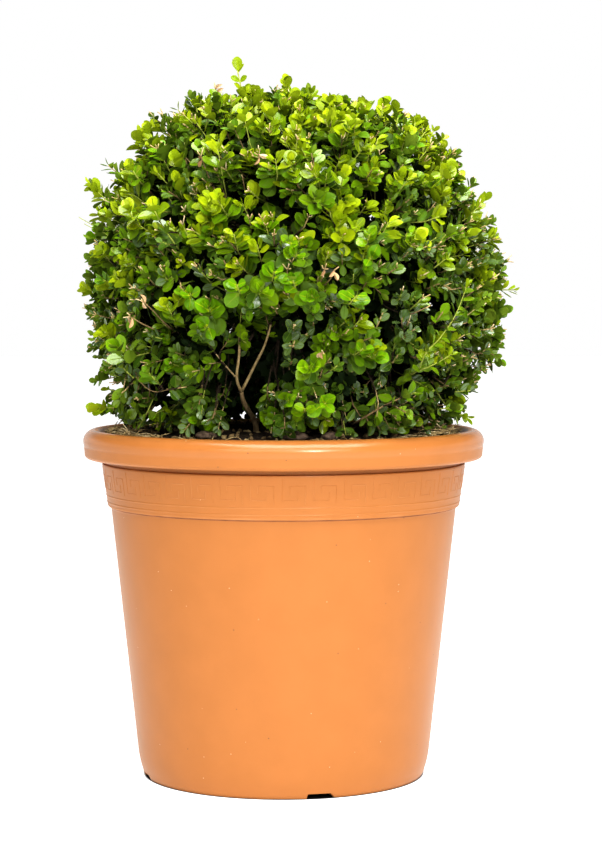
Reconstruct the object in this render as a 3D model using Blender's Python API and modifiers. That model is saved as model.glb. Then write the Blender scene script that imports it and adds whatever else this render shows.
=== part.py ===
"""A clipped boxwood ball in a round moulded plastic pot.

Metres, +Z up. The origin is the centre of the pot's flat underside, on the ground, and the front is -Y.
The plant has one short main stem, a bough for each mass of foliage and a few low stems that stand in
the soil. Each mass is a dark core with leafy shoots that stand out of it.
"""

import math
import random

import bmesh
import bpy
from mathutils import Matrix, Vector

# Pot
POT_HEIGHT = 0.3455
RIM_RADIUS = 0.2000
ROLL_RADIUS = 0.0115
ROLL_MOUTH = 0.1830
LIP_RADIUS = 0.1955
LIP_BOTTOM = 0.3172
LIP_THICKNESS = 0.0030
BAND_TOP = 0.3110
BAND_TOP_RADIUS = 0.1812
BAND_FOOT = 0.2728
BAND_FOOT_RADIUS = 0.1760
BODY_TOP = 0.2676
BODY_TOP_RADIUS = 0.1722
BODY_FOOT = 0.0320
BODY_FOOT_RADIUS = 0.1470
BASE_TOP = 0.0060
BASE_RADIUS = 0.1420
POT_WALL = 0.0037
POT_SIDES = 48
FLOOR_TOP = 0.0085
CHANNEL_HEIGHT = 0.0045
CHANNEL_INNER = 0.1000
CHANNEL_OUTER = 0.1280
NOTCH_COUNT = 4
NOTCH_WIDTH = 0.0280
NOTCH_SLOPE = 0.0030
NOTCH_TURN = math.radians(-75.6)
DRAIN_COUNT = 8
DRAIN_RADIUS = 0.0050
DRAIN_CIRCLE = 0.1140

# Soil and the stones on it
SEAT_GAP = 0.0003
SOIL_EDGE = 0.3405
SOIL_TOP = 0.3460
SOIL_FLAT = 0.0600
STONES = (
    ("stone_left", (-0.073, -0.128), (0.0130, 0.0095, 0.0044)),
    ("stone_middle", (0.012, -0.146), (0.0120, 0.0085, 0.0046)),
    ("stone_right", (0.045, -0.140), (0.0085, 0.0070, 0.0042)),
    ("stone_back", (0.096, 0.098), (0.0110, 0.0090, 0.0044)),
)

# Limbs
TRUNK_FOOT = 0.0190
TRUNK_RADIUS = 0.0115
TRUNK_TIP_RADIUS = 0.0080
TRUNK_TOP = 0.4260
FLARE_HEIGHT = 0.0120
BOUGH_FOOT_RADIUS = 0.0056
BOUGH_TIP_RADIUS = 0.0040
BOUGH_LOW = 0.3760
BOUGH_STAGGER = 0.0170
BOUGH_REACH = 0.0740
BOUGH_TIP_HEIGHT = 0.4600
BOUGH_RISE = math.radians(40)
LEADER_TOP = 0.5400
STRAIGHT_END = 0.0025
STEM_RADIUS = 0.0036
STEM_TIP_RADIUS = 0.0026
LOW_STEMS = (
    ("stem_front_left", (-0.026, -0.066), (-0.040, -0.094)),
    ("stem_front_right", (0.052, -0.064), (0.060, -0.092)),
    ("stem_right", (0.080, 0.004), (0.110, 0.012)),
    ("stem_back", (0.014, 0.076), (0.024, 0.104)),
    ("stem_left", (-0.068, 0.022), (-0.094, 0.034)),
)

# Crown
CROWN_CENTRE = Vector((0.0080, 0.0000, 0.4840))
CROWN_REACH = 0.2220
CORE_OUTER = 0.1680
CORE_INNER = 0.0950
CORE_LOW = math.radians(-42)
TOP_START = math.radians(50)
SIDE_COUNT = 6
SIDE_HALF = math.pi / SIDE_COUNT
CORE_MARGIN = math.radians(0.4)
SPACE_MARGIN = 0.0010
FOLIAGE_FLOOR = 0.3545
LIMB_CLEARANCE = 0.0020
SIDE_NAMES = ("front", "front_right", "back_right", "back", "back_left", "front_left")

# Shoots and leaves
SHOOTS = 15
HUB_REACH = 0.0520
SHOOT_EDGE = math.radians(4)
GOLDEN_SHARE = 0.6180339887
TWIG_FOOT_RADIUS = 0.0031
TWIG_TIP_RADIUS = 0.0022
TWIG_ROOT = 0.1560
TWIG_LEAN = 0.10
TWIG_TIP = 0.1880
LEAF_LENGTH = 0.0420
LEAF_WIDTH = 0.0270
LEAF_THICKNESS = 0.0020
LEAF_ROOT_DEPTH = 0.0012
PAIR_SPLAYS = (math.radians(66), math.radians(38))
PAIR_PLACES = (0.62, 0.93)
TALL_SHOOT_FOOT = Vector((-0.030, -0.016, 0.635))
TALL_SHOOT_TIP = Vector((-0.043, -0.020, 0.697))
TALL_SHOOT_PAIRS = 4
TALL_LEAF_LENGTH = 0.026

# Colours
TERRACOTTA = (0.79, 0.28, 0.09)
SOIL_BROWN = (0.07, 0.045, 0.028)
STONE_TAN = (0.33, 0.24, 0.17)
BARK_TAN = (0.30, 0.20, 0.11)
LEAF_GREEN = (0.085, 0.155, 0.015)


def clear_scene():
    for thing in list(bpy.data.objects):
        bpy.data.objects.remove(thing, do_unlink=True)


def new_collection(name):
    group = bpy.data.collections.new(name)
    bpy.context.scene.collection.children.link(group)
    return group


def plain_material(name, colour, roughness):
    material = bpy.data.materials.new(name)
    material.use_nodes = True
    shader = material.node_tree.nodes["Principled BSDF"]
    shader.inputs["Base Color"].default_value = (*colour, 1)
    shader.inputs["Roughness"].default_value = roughness
    shader.inputs["Metallic"].default_value = 0
    return material


def new_object(name, mesh, group, material=None):
    thing = bpy.data.objects.new(name, mesh)
    group.objects.link(thing)
    if material:
        mesh.materials.append(material)
    return thing


def mesh_object(name, form, group, material=None):
    """An object made from a bmesh, which it frees."""
    bmesh.ops.recalc_face_normals(form, faces=form.faces)
    mesh = bpy.data.meshes.new(name)
    form.to_mesh(mesh)
    form.free()
    return new_object(name, mesh, group, material)


def settled_mesh(thing):
    """The object's mesh with its modifiers worked in."""
    graph = bpy.context.evaluated_depsgraph_get()
    return bpy.data.meshes.new_from_object(thing.evaluated_get(graph))


def turned(name, profile, group, material, sides=POT_SIDES):
    """A profile of (radius, height) points turned about the object's own Z axis."""
    form = bmesh.new()
    points = [form.verts.new((radius, 0, height)) for radius, height in profile]
    for first, second in zip(points, points[1:]):
        form.edges.new((first, second))
    mesh = bpy.data.meshes.new(name)
    form.to_mesh(mesh)
    form.free()
    thing = new_object(name, mesh, group, material)
    screw = thing.modifiers.new("turn", "SCREW")
    screw.steps = sides
    screw.render_steps = sides
    screw.use_merge_vertices = True
    screw.merge_threshold = 0.00001
    return thing


def arc(centre, radius, start, end, steps):
    """Points of (radius, height) round a centre, from one angle to another in degrees."""
    angles = [math.radians(start + (end - start) * step / steps) for step in range(steps + 1)]
    return [(centre[0] + radius * math.cos(a), centre[1] + radius * math.sin(a)) for a in angles]


def body_radius(height):
    """Outer radius of the pot's tapered body, which rounds in below its foot line to the base."""
    slope = (BODY_TOP_RADIUS - BODY_FOOT_RADIUS) / (BODY_TOP - BODY_FOOT)
    straight = BODY_FOOT_RADIUS + slope * (height - BODY_FOOT)
    rounding = BODY_FOOT_RADIUS - slope * (BODY_FOOT - BASE_TOP) - BASE_RADIUS
    below = max(0, BODY_FOOT - height) / (BODY_FOOT - BASE_TOP)
    return straight - rounding * below**3


def inside_line(clearance):
    """The pot's inside from the floor's corner up to the mouth, set in by a clearance."""
    heights = (FLOOR_TOP + 0.0035, BODY_FOOT, BAND_FOOT, 0.3240)
    wall = [(body_radius(height) - POT_WALL - clearance, height) for height in heights]
    corner = (wall[0][0] - 0.0040, FLOOR_TOP + clearance)
    return [corner, *wall, (ROLL_MOUTH - 0.0040 - clearance, 0.3350)]


def pot_profile():
    """From the top of the rim down the outside, across the underside and up the inside."""
    roll = arc((RIM_RADIUS - ROLL_RADIUS, POT_HEIGHT - ROLL_RADIUS), ROLL_RADIUS, 90, 0, 4)
    lip = [
        (LIP_RADIUS + 0.0030, LIP_BOTTOM + 0.0038),
        (LIP_RADIUS, LIP_BOTTOM),
        (LIP_RADIUS - LIP_THICKNESS, LIP_BOTTOM),
        (LIP_RADIUS - LIP_THICKNESS, LIP_BOTTOM + 0.0090),
        (BAND_TOP_RADIUS + 0.0006, BAND_TOP + 0.0160),
    ]
    band = [
        (BAND_TOP_RADIUS, BAND_TOP),
        (BAND_FOOT_RADIUS, BAND_FOOT),
        (BODY_TOP_RADIUS + 0.0022, BODY_TOP + 0.0018),
        (BODY_TOP_RADIUS, BODY_TOP),
    ]
    foot = [
        *[(body_radius(height), height) for height in (BODY_FOOT, 0.0220, 0.0130, BASE_TOP)],
        (BASE_RADIUS - 0.0006, 0.0036),
        (BASE_RADIUS - 0.0016, 0.0018),
        (BASE_RADIUS - 0.0028, 0.0014),
        (BASE_RADIUS - 0.0030, 0),
        (CHANNEL_OUTER, 0),
        (CHANNEL_OUTER - 0.0015, CHANNEL_HEIGHT),
        (CHANNEL_INNER + 0.0015, CHANNEL_HEIGHT),
        (CHANNEL_INNER, 0),
        (0, 0),
    ]
    inside = [(0, FLOOR_TOP), *inside_line(0)]
    mouth = [(ROLL_MOUTH, POT_HEIGHT - 0.0030), (ROLL_MOUTH + 0.0022, POT_HEIGHT - 0.0004)]
    return [*roll, *lip, *band, *foot, *inside, *mouth, roll[0]]


def notch_cutter(index, group):
    """A wedge that opens the drainage channel through the foot ring."""
    form = bmesh.new()
    bmesh.ops.create_cube(form, size=1)
    length = 0.0380
    for point in form.verts:
        half = NOTCH_WIDTH / 2 - (NOTCH_SLOPE if point.co.z > 0 else -NOTCH_SLOPE)
        point.co.x = CHANNEL_OUTER + 0.012 + point.co.x * length
        point.co.y = math.copysign(half, point.co.y)
        point.co.z = CHANNEL_HEIGHT if point.co.z > 0 else -CHANNEL_HEIGHT
    turn = Matrix.Rotation(NOTCH_TURN + index * math.tau / NOTCH_COUNT, 4, "Z")
    bmesh.ops.transform(form, matrix=turn, verts=form.verts)
    return mesh_object("notch_cutter", form, group)


def drain_cutter(index, group):
    form = bmesh.new()
    bmesh.ops.create_cone(
        form, cap_ends=True, segments=12, radius1=DRAIN_RADIUS, radius2=DRAIN_RADIUS, depth=0.03
    )
    angle = NOTCH_TURN + (index + 0.5) * math.tau / DRAIN_COUNT
    centre = Vector((DRAIN_CIRCLE * math.cos(angle), DRAIN_CIRCLE * math.sin(angle), 0))
    bmesh.ops.translate(form, vec=centre, verts=form.verts)
    return mesh_object("drain_cutter", form, group)


def make_pot(group, cutters):
    pot = turned("pot", pot_profile(), group, plain_material("terracotta plastic", TERRACOTTA, 0.42))
    made = [notch_cutter(index, cutters) for index in range(NOTCH_COUNT)]
    made += [drain_cutter(index, cutters) for index in range(DRAIN_COUNT)]
    for cutter in made:
        cutter.hide_render = True
        cutter.display_type = "WIRE"
    drainage = pot.modifiers.new("drainage", "BOOLEAN")
    drainage.operation = "DIFFERENCE"
    drainage.operand_type = "COLLECTION"
    drainage.collection = cutters
    return pot


def soil_height(distance):
    """Height of the soil's surface at a distance from the pot's axis: flat, then falling to the wall."""
    edge = ROLL_MOUTH - 0.0020
    share = min(1, max(0, (distance - SOIL_FLAT) / (edge - SOIL_FLAT)))
    return SOIL_TOP - (SOIL_TOP - SOIL_EDGE) * share**2


def make_soil(group):
    wall = inside_line(SEAT_GAP)
    edge = (ROLL_MOUTH - 0.0012 - SEAT_GAP, SOIL_EDGE)
    slope = [(radius, soil_height(radius)) for radius in (SOIL_FLAT, 0.1300)]
    profile = [(0, SOIL_TOP), *slope, edge, *reversed(wall), (0, FLOOR_TOP + SEAT_GAP)]
    return turned("soil", profile, group, plain_material("potting soil", SOIL_BROWN, 0.95))


def make_stone(name, place, size, group):
    """A rounded pebble whose lowest point lies just clear of the soil."""
    draw = random.Random(name)
    form = bmesh.new()
    bmesh.ops.create_icosphere(form, subdivisions=2, radius=1)
    for point in form.verts:
        point.co *= 1 + draw.uniform(-0.06, 0.06)
        point.co = Vector(a * b for a, b in zip(point.co, size))
    turn = Matrix.Rotation(draw.uniform(0, math.tau), 4, "Z")
    bmesh.ops.transform(form, matrix=turn, verts=form.verts)
    lift = max(
        soil_height((Vector(place) + point.co.xy).length) - point.co.z for point in form.verts
    )
    bmesh.ops.translate(form, vec=(*place, lift + SEAT_GAP), verts=form.verts)
    return mesh_object(name, form, group, plain_material(name, STONE_TAN, 0.9))


def smooth_path(start, leave, end, arrive, steps):
    """Points on a smooth curve that leaves and arrives straight along two directions."""
    pull = (end - start).length / 2.6
    near = start + leave.normalized() * pull
    far = end - arrive.normalized() * pull
    path = [start, start + leave.normalized() * STRAIGHT_END]
    for step in range(1, steps):
        t = step / steps
        s = 1 - t
        path.append(start * s**3 + near * 3 * s * s * t + far * 3 * s * t * t + end * t**3)
    return [*path, end - arrive.normalized() * STRAIGHT_END, end]


def limb(name, path, radii, group, fineness=1):
    """A tapering limb: a curve with a bevel along a path, with a radius at each point."""
    curve = bpy.data.curves.new(name, "CURVE")
    curve.dimensions = "3D"
    curve.bevel_depth = 1
    curve.bevel_resolution = fineness
    curve.use_fill_caps = True
    line = curve.splines.new("POLY")
    line.points.add(len(path) - 1)
    for knot, place, radius in zip(line.points, path, radii):
        knot.co = (*place, 1)
        knot.radius = radius
    curve.materials.append(plain_material(name + " bark", BARK_TAN, 0.85))
    thing = bpy.data.objects.new(name, curve)
    group.objects.link(thing)
    return [(a, b, radius) for a, b, radius in zip(path, path[1:], radii)]


def taper(first, last, count):
    return [first + (last - first) * step / (count - 1) for step in range(count)]


def trunk_path():
    """The main stem leans from the pot's axis towards the crown's centre."""
    foot = Vector((0, 0, SOIL_TOP + SEAT_GAP))
    top = Vector((CROWN_CENTRE.x * 0.8, 0, TRUNK_TOP))
    return smooth_path(foot, Vector((0, 0, 1)), top, Vector((0.1, 0, 1)), 6)


def trunk_radius(height):
    """Radius of the main stem, with its root flare."""
    rise = height - SOIL_TOP
    share = rise / (TRUNK_TOP - SOIL_TOP)
    flare = (TRUNK_FOOT - TRUNK_RADIUS) * math.exp(-rise / FLARE_HEIGHT)
    return TRUNK_RADIUS + (TRUNK_TIP_RADIUS - TRUNK_RADIUS) * share + flare


def trunk_centre(height):
    """Where the main stem's middle is at a height."""
    path = trunk_path()
    for low, high in zip(path, path[1:]):
        if low.z <= height <= high.z:
            return low.lerp(high, (height - low.z) / (high.z - low.z))
    return path[-1]


def bough_start(height, out):
    """Level with a place on the main stem, just clear of its widest part beside the bough's foot."""
    levels = [height + step * BOUGH_FOOT_RADIUS for step in (-1, 0, 1)]
    face = max(trunk_centre(level).dot(out) + trunk_radius(level) for level in levels)
    middle = trunk_centre(height)
    return middle + out * (face - middle.dot(out) + SEAT_GAP)


def bough_tip(azimuth):
    """Where a side bough ends, and the direction it ends in."""
    out = Vector((math.cos(azimuth), math.sin(azimuth), 0))
    place = Vector((CROWN_CENTRE.x, 0, BOUGH_TIP_HEIGHT)) + out * BOUGH_REACH
    return place, out * math.cos(BOUGH_RISE) + Vector((0, 0, math.sin(BOUGH_RISE)))


def make_limbs(group):
    """The main stem, a bough to each mass and the low stems. Returns their straight pieces."""
    path = trunk_path()
    pieces = limb("main_stem", path, [trunk_radius(place.z) for place in path], group, fineness=3)
    for index, name in enumerate(SIDE_NAMES):
        azimuth = side_azimuth(index)
        height = BOUGH_LOW + BOUGH_STAGGER * (index % 2)
        out = Vector((math.cos(azimuth), math.sin(azimuth), 0))
        start = bough_start(height, out)
        tip, heading = bough_tip(azimuth)
        path = smooth_path(start, out, tip, heading, 5)
        radii = taper(BOUGH_FOOT_RADIUS, BOUGH_TIP_RADIUS, len(path))
        pieces += limb("bough_" + name, path, radii, group)
    start = trunk_path()[-1] + Vector((0, 0, SEAT_GAP))
    tip = Vector((CROWN_CENTRE.x, 0, LEADER_TOP))
    path = smooth_path(start, Vector((0.1, 0, 1)), tip, Vector((0, 0, 1)), 4)
    pieces += limb("bough_top", path, taper(TRUNK_TIP_RADIUS * 0.9, BOUGH_TIP_RADIUS, len(path)), group)
    for name, foot, head in LOW_STEMS:
        start = Vector((*foot, soil_height(Vector(foot).length) + SEAT_GAP))
        spread = (Vector(head) - CROWN_CENTRE.xy).length
        ceiling = CROWN_CENTRE.z + spread * math.tan(CORE_LOW)
        tip = Vector((*head, ceiling - STEM_TIP_RADIUS - SEAT_GAP))
        path = smooth_path(start, Vector((0, 0, 1)), tip, tip - start + Vector((0, 0, 0.1)), 4)
        pieces += limb(name, path, taper(STEM_RADIUS, STEM_TIP_RADIUS, len(path)), group)
    return pieces


def side_azimuth(index):
    """Azimuth of a side mass: the first one faces the front, and they go round to the right."""
    return -math.pi / 2 + index * math.tau / SIDE_COUNT


def crown_direction(azimuth, elevation):
    flat = math.cos(elevation)
    return Vector((flat * math.cos(azimuth), flat * math.sin(azimuth), math.sin(elevation)))


def in_space(place, index):
    """Whether a point is inside the space of a side mass, or of the top mass when index is None."""
    offset = place - CROWN_CENTRE
    reach = offset.length
    if reach > CROWN_REACH or place.z < FOLIAGE_FLOOR:
        return False
    from_top = reach * math.sin(math.asin(offset.z / reach) - TOP_START)
    if index is None:
        return from_top > SPACE_MARGIN
    turn = math.remainder(math.atan2(offset.y, offset.x) - side_azimuth(index), math.tau)
    from_side = offset.xy.length * math.sin(SIDE_HALF - abs(turn))
    return from_top < -SPACE_MARGIN and from_side > SPACE_MARGIN


def clear_of_limbs(place, limbs):
    """Whether a point is clear of every straight piece of the limbs."""
    for start, end, radius in limbs:
        along = end - start
        share = min(1, max(0, (place - start).dot(along) / along.length_squared))
        if (place - start - along * share).length < radius + LIMB_CLEARANCE:
            return False
    return True


def side_core(index, group, material):
    """A block of a thick shell: a cut-up cube bent to run between two radii and four angles."""
    form = bmesh.new()
    bmesh.ops.create_cube(form, size=2)
    bmesh.ops.subdivide_edges(form, edges=form.edges, cuts=2, use_grid_fill=True)
    low = CORE_LOW
    high = TOP_START - CORE_MARGIN
    for point in form.verts:
        across, depth, rise = point.co
        azimuth = side_azimuth(index) + across * (SIDE_HALF - CORE_MARGIN)
        elevation = low + (rise + 1) / 2 * (high - low)
        radius = CORE_INNER + (depth + 1) / 2 * (CORE_OUTER - CORE_INNER)
        point.co = CROWN_CENTRE + crown_direction(azimuth, elevation) * radius
    return mesh_object("foliage_" + SIDE_NAMES[index], form, group, material)


def top_core(group, material):
    """A thick cap turned about the crown's axis."""
    start = math.degrees(TOP_START + CORE_MARGIN)
    outside = arc((0, 0), CORE_OUTER, 90, start, 4)
    inside = arc((0, 0), CORE_INNER, start, 90, 2)
    profile = [(0, CORE_OUTER), *outside[1:], *inside[:-1], (0, CORE_INNER)]
    core = turned("foliage_top", profile, group, material, sides=18)
    core.location = CROWN_CENTRE
    return core


def twig(start, end, first, last, group):
    """A three-sided tapering twig."""
    form = bmesh.new()
    length = (end - start).length
    bmesh.ops.create_cone(
        form, cap_ends=True, segments=3, radius1=first, radius2=last, depth=length
    )
    turn = (end - start).to_track_quat("Z", "Y").to_matrix().to_4x4()
    bmesh.ops.transform(form, matrix=Matrix.Translation((start + end) / 2) @ turn, verts=form.verts)
    return mesh_object("twig", form, group)


def leaf_frame(root, along, across):
    """A matrix with X along the leaf, Y across it and Z out of its face, at its root."""
    along = along.normalized()
    face = along.cross(across).normalized()
    across = face.cross(along)
    turn = Matrix((along, across, face)).transposed().to_4x4()
    return Matrix.Translation(root) @ turn


def leaf_points(frame, length, width):
    """The six corners of a leaf: root, tip, two sides, and its upper and lower middle."""
    thick = LEAF_THICKNESS / 2
    corners = (
        (-LEAF_ROOT_DEPTH, 0, 0),
        (length, 0, 0),
        (length * 0.52, width / 2, 0),
        (length * 0.52, -width / 2, 0),
        (length * 0.36, 0, thick),
        (length * 0.36, 0, -thick),
    )
    return [frame @ Vector(corner) for corner in corners]


def make_leaf(corners, group):
    """A flat eight-sided leaf: the smallest sphere with its corners pulled out to the leaf's own."""
    root, tip, left, right, upper, lower = corners
    form = bmesh.new()
    bmesh.ops.create_uvsphere(form, u_segments=4, v_segments=2, radius=1)
    for point in form.verts:
        if abs(point.co.z) > 0.5:
            point.co = tip if point.co.z > 0 else root
        elif abs(point.co.x) > 0.5:
            point.co = left if point.co.x > 0 else right
        else:
            point.co = upper if point.co.y > 0 else lower
    return mesh_object("leaf", form, group)


def leaf_fits(corners, index, limbs):
    probes = corners[1:4] + [(corners[0] + corners[1]) / 2, (corners[1] + corners[2]) / 2]
    return all(in_space(place, index) and clear_of_limbs(place, limbs) for place in probes)


def add_pair(node, heading, turn, splay, length, index, limbs, draw, group):
    """Two opposite leaves, each only where it stays in the mass's space and clear of the limbs."""
    side = heading.orthogonal().normalized()
    side.rotate(Matrix.Rotation(turn, 3, heading))
    made = 0
    for sign in (1, -1):
        size = length * draw.uniform(0.86, 1.06)
        lean = splay + draw.uniform(-0.14, 0.14)
        roll = draw.uniform(-0.35, 0.35)
        for attempt in range(6):
            out = side * sign
            out.rotate(Matrix.Rotation(attempt * 0.5 * (1 if attempt % 2 else -1), 3, heading))
            along = heading * math.cos(lean) + out * math.sin(lean)
            across = heading.cross(out)
            across.rotate(Matrix.Rotation(roll, 3, along))
            frame = leaf_frame(node, along, across)
            corners = leaf_points(frame, size, size * LEAF_WIDTH / LEAF_LENGTH)
            if leaf_fits(corners, index, limbs):
                make_leaf(corners, group)
                made += 1
                break
    return made


def spread_place(step):
    """An even spread of (u, v) over the unit square, by the golden ratio."""
    return (0.3 + step * GOLDEN_SHARE) % 1, (step + 0.5) / SHOOTS


def shoot_direction(index, step):
    """Direction from the crown's centre to a shoot, evenly spread over its mass by area."""
    u, v = spread_place(step)
    if index is None:
        start = math.sin(TOP_START + SHOOT_EDGE)
        elevation = math.asin(start + (1 - start) * v)
        return crown_direction(u * math.tau, elevation)
    low = math.sin(CORE_LOW)
    high = math.sin(TOP_START - SHOOT_EDGE)
    elevation = math.asin(low + (high - low) * v)
    half = SIDE_HALF - SHOOT_EDGE
    return crown_direction(side_azimuth(index) + (2 * u - 1) * half, elevation)


def grow_mass(core, index, hub, limbs, draw, group):
    """Twigs that spread from the end of the mass's stem, each with two pairs of leaves."""
    for step in range(SHOOTS):
        direction = shoot_direction(index, step)
        inward = direction.lerp((hub - CROWN_CENTRE).normalized(), TWIG_LEAN).normalized()
        root = CROWN_CENTRE + inward * TWIG_ROOT
        tip = CROWN_CENTRE + direction * (TWIG_TIP + draw.uniform(-0.004, 0.004))
        heading = (tip - root).normalized()
        if not (in_space(tip, index) and clear_of_limbs(tip, limbs)):
            continue
        twig(root, tip, TWIG_FOOT_RADIUS, TWIG_TIP_RADIUS, group)
        turn = draw.uniform(0, math.pi)
        for splay, place in zip(PAIR_SPLAYS, PAIR_PLACES):
            node = root.lerp(tip, place)
            add_pair(node, heading, turn, splay, LEAF_LENGTH, index, limbs, draw, group)
            turn += math.pi / 2


def grow_tall_shoot(limbs, draw, group):
    """The long new shoot that stands above the crown, with small leaves pressed towards it."""
    twig(TALL_SHOOT_FOOT, TALL_SHOOT_TIP, TWIG_FOOT_RADIUS, TWIG_TIP_RADIUS * 0.8, group)
    heading = (TALL_SHOOT_TIP - TALL_SHOOT_FOOT).normalized()
    turn = 0.4
    for step in range(TALL_SHOOT_PAIRS):
        share = 0.45 + 0.5 * step / (TALL_SHOOT_PAIRS - 1)
        node = TALL_SHOOT_FOOT.lerp(TALL_SHOOT_TIP, share)
        splay = math.radians(62 - 12 * step)
        side = heading.orthogonal().normalized()
        side.rotate(Matrix.Rotation(turn, 3, heading))
        for sign in (1, -1):
            along = heading * math.cos(splay) + side * sign * math.sin(splay)
            frame = leaf_frame(node, along, heading.cross(side * sign))
            width = TALL_LEAF_LENGTH * draw.uniform(0.5, 0.6)
            make_leaf(leaf_points(frame, TALL_LEAF_LENGTH, width), group)
        turn += math.pi / 2


def fuse(core, group):
    """Joins the collection's twigs and leaves to the core in one union, and removes them."""
    union = core.modifiers.new("fuse", "BOOLEAN")
    union.operation = "UNION"
    union.operand_type = "COLLECTION"
    union.collection = group
    union.solver = "EXACT"
    mesh = settled_mesh(core)
    core.modifiers.clear()
    core.data = mesh
    for thing in list(group.objects):
        bpy.data.objects.remove(thing, do_unlink=True)
    bpy.data.collections.remove(group)


def make_mass(name, index, limbs, group):
    """One mass: its core, its own stem, its twigs and its leaves, in one closed body."""
    material = plain_material(name, LEAF_GREEN, 0.55)
    draw = random.Random(name)
    core = top_core(group, material) if index is None else side_core(index, group, material)
    loose = new_collection(name + " twigs and leaves")
    if index is None:
        start = Vector((CROWN_CENTRE.x, 0, LEADER_TOP))
        heading = Vector((0, 0, 1))
    else:
        start, heading = bough_tip(side_azimuth(index))
    hub = start + heading * HUB_REACH
    twig(start + heading * SEAT_GAP, hub, BOUGH_TIP_RADIUS, BOUGH_TIP_RADIUS * 0.9, loose)
    grow_mass(core, index, hub, limbs, draw, loose)
    if index is None:
        grow_tall_shoot(limbs, draw, loose)
    fuse(core, loose)


def main():
    clear_scene()
    group = new_collection("potted boxwood ball")
    cutters = new_collection("cutters")
    make_pot(group, cutters)
    make_soil(group)
    for name, place, size in STONES:
        make_stone(name, place, size, group)
    limbs = make_limbs(group)
    for index, name in enumerate(SIDE_NAMES):
        make_mass("foliage_" + name, index, limbs, group)
    make_mass("foliage_top", None, limbs, group)


main()
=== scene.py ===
"""Looks of the potted boxwood ball: pot, soil, stones, bark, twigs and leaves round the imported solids."""

import math
import random

import bmesh
import bpy
import numpy as np
from mathutils import Matrix, Vector, noise


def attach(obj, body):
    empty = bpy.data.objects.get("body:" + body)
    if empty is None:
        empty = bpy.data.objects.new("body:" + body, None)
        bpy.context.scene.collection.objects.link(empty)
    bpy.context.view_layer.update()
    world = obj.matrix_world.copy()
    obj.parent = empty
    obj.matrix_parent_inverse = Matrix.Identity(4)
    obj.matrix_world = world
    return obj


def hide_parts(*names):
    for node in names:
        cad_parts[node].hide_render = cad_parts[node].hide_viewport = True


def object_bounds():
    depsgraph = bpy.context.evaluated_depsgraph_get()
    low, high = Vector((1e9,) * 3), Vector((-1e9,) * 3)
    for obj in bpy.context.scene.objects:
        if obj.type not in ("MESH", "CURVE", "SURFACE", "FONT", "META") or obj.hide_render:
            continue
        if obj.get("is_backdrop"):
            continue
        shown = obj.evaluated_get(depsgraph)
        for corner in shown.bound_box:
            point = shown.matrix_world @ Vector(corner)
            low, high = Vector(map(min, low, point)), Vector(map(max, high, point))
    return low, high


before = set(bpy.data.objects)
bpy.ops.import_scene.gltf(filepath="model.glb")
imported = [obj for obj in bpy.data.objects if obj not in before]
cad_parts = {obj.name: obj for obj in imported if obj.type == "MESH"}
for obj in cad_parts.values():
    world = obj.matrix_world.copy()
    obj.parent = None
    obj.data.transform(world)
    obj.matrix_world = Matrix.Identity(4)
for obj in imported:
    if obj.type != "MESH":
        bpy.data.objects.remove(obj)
cad_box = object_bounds()
UP = Vector((0, 0, 1))

# Pot, in metres: radii and heights as the solids have them
POT_HEIGHT = 0.3455
RIM_RADIUS = 0.2
ROLL_RADIUS = 0.0115
ROLL_MOUTH = 0.183
MOUTH_ROUND = 0.0035
LIP_RADIUS = 0.1985
LIP_BOTTOM = 0.3172
LIP_ROUND = 0.004
BAND_TOP = 0.311
BAND_TOP_RADIUS = 0.1812
BAND_FOOT = 0.2728
BAND_FOOT_RADIUS = 0.176
BAND_ROUND = 0.003
BODY_TOP = 0.2676
BODY_TOP_RADIUS = 0.1722
BODY_FOOT = 0.032
BODY_FOOT_RADIUS = 0.147
BASE_TOP = 0.006
BASE_RADIUS = 0.142
POT_WALL = 0.0037
FLOOR_TOP = 0.0085
FLOOR_ROUND = 0.0035
CHANNEL_HEIGHT = 0.0045
CHANNEL_INNER = 0.1
CHANNEL_OUTER = 0.128
CHANNEL_SLOPE = 0.0015
NOTCH_COUNT = 4
NOTCH_WIDTH = 0.028
NOTCH_SLOPE = 0.003
NOTCH_TURN = math.radians(-75.6)
DRAIN_COUNT = 8
DRAIN_RADIUS = 0.005
DRAIN_CIRCLE = 0.114
DRILL_LENGTH = 0.03
POT_COLUMNS = 192
SHARP_ANGLE = math.radians(38)
BEAD_HEIGHTS = (0.2745, 0.2812)
BEAD_WIDTH = 0.0015
BEAD_ROOM = 0.0014
BEAD_RISE = 0.00028
BEAD_STEPS = 5
BAND_INSET = 0.0008
NOTCH_ROOM = 0.0005
CORNER_ROUND = 0.004

# Parts of the pot's section as (radius, height), and heights on its tapered wall
SKIRT = ((0.1993, 0.329), (0.1988, 0.325))
UNDER_LIP = ((0.1925, LIP_BOTTOM), (0.1915, LIP_BOTTOM + 0.001), (0.1915, 0.3262))
NECK = ((0.185, 0.3272), (0.18, 0.3255), (0.1785, 0.3165), (0.1785, 0.3128))
BAND_STEP = ((0.18, 0.3122), (BAND_TOP_RADIUS - 0.0003, 0.3119), (BAND_TOP_RADIUS, BAND_TOP))
UNDER_BAND = ((BODY_TOP_RADIUS + 0.0006, BAND_FOOT - 0.0036), (BODY_TOP_RADIUS + 0.0001, BAND_FOOT - 0.0044))
WALL_TOP = BAND_FOOT - 0.006
WALL_HEIGHTS = (WALL_TOP, 0.22, 0.17, 0.12, 0.07, BODY_FOOT, 0.026, 0.021, 0.017, 0.013, 0.009, BASE_TOP)
FOOT_ROUND = (
    (0.0002, 0.0048), (0.0006, 0.0036), (0.001, 0.0025), (0.0013, 0.0016), (0.0021, 0.0012), (0.0022, 0),
)
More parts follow.
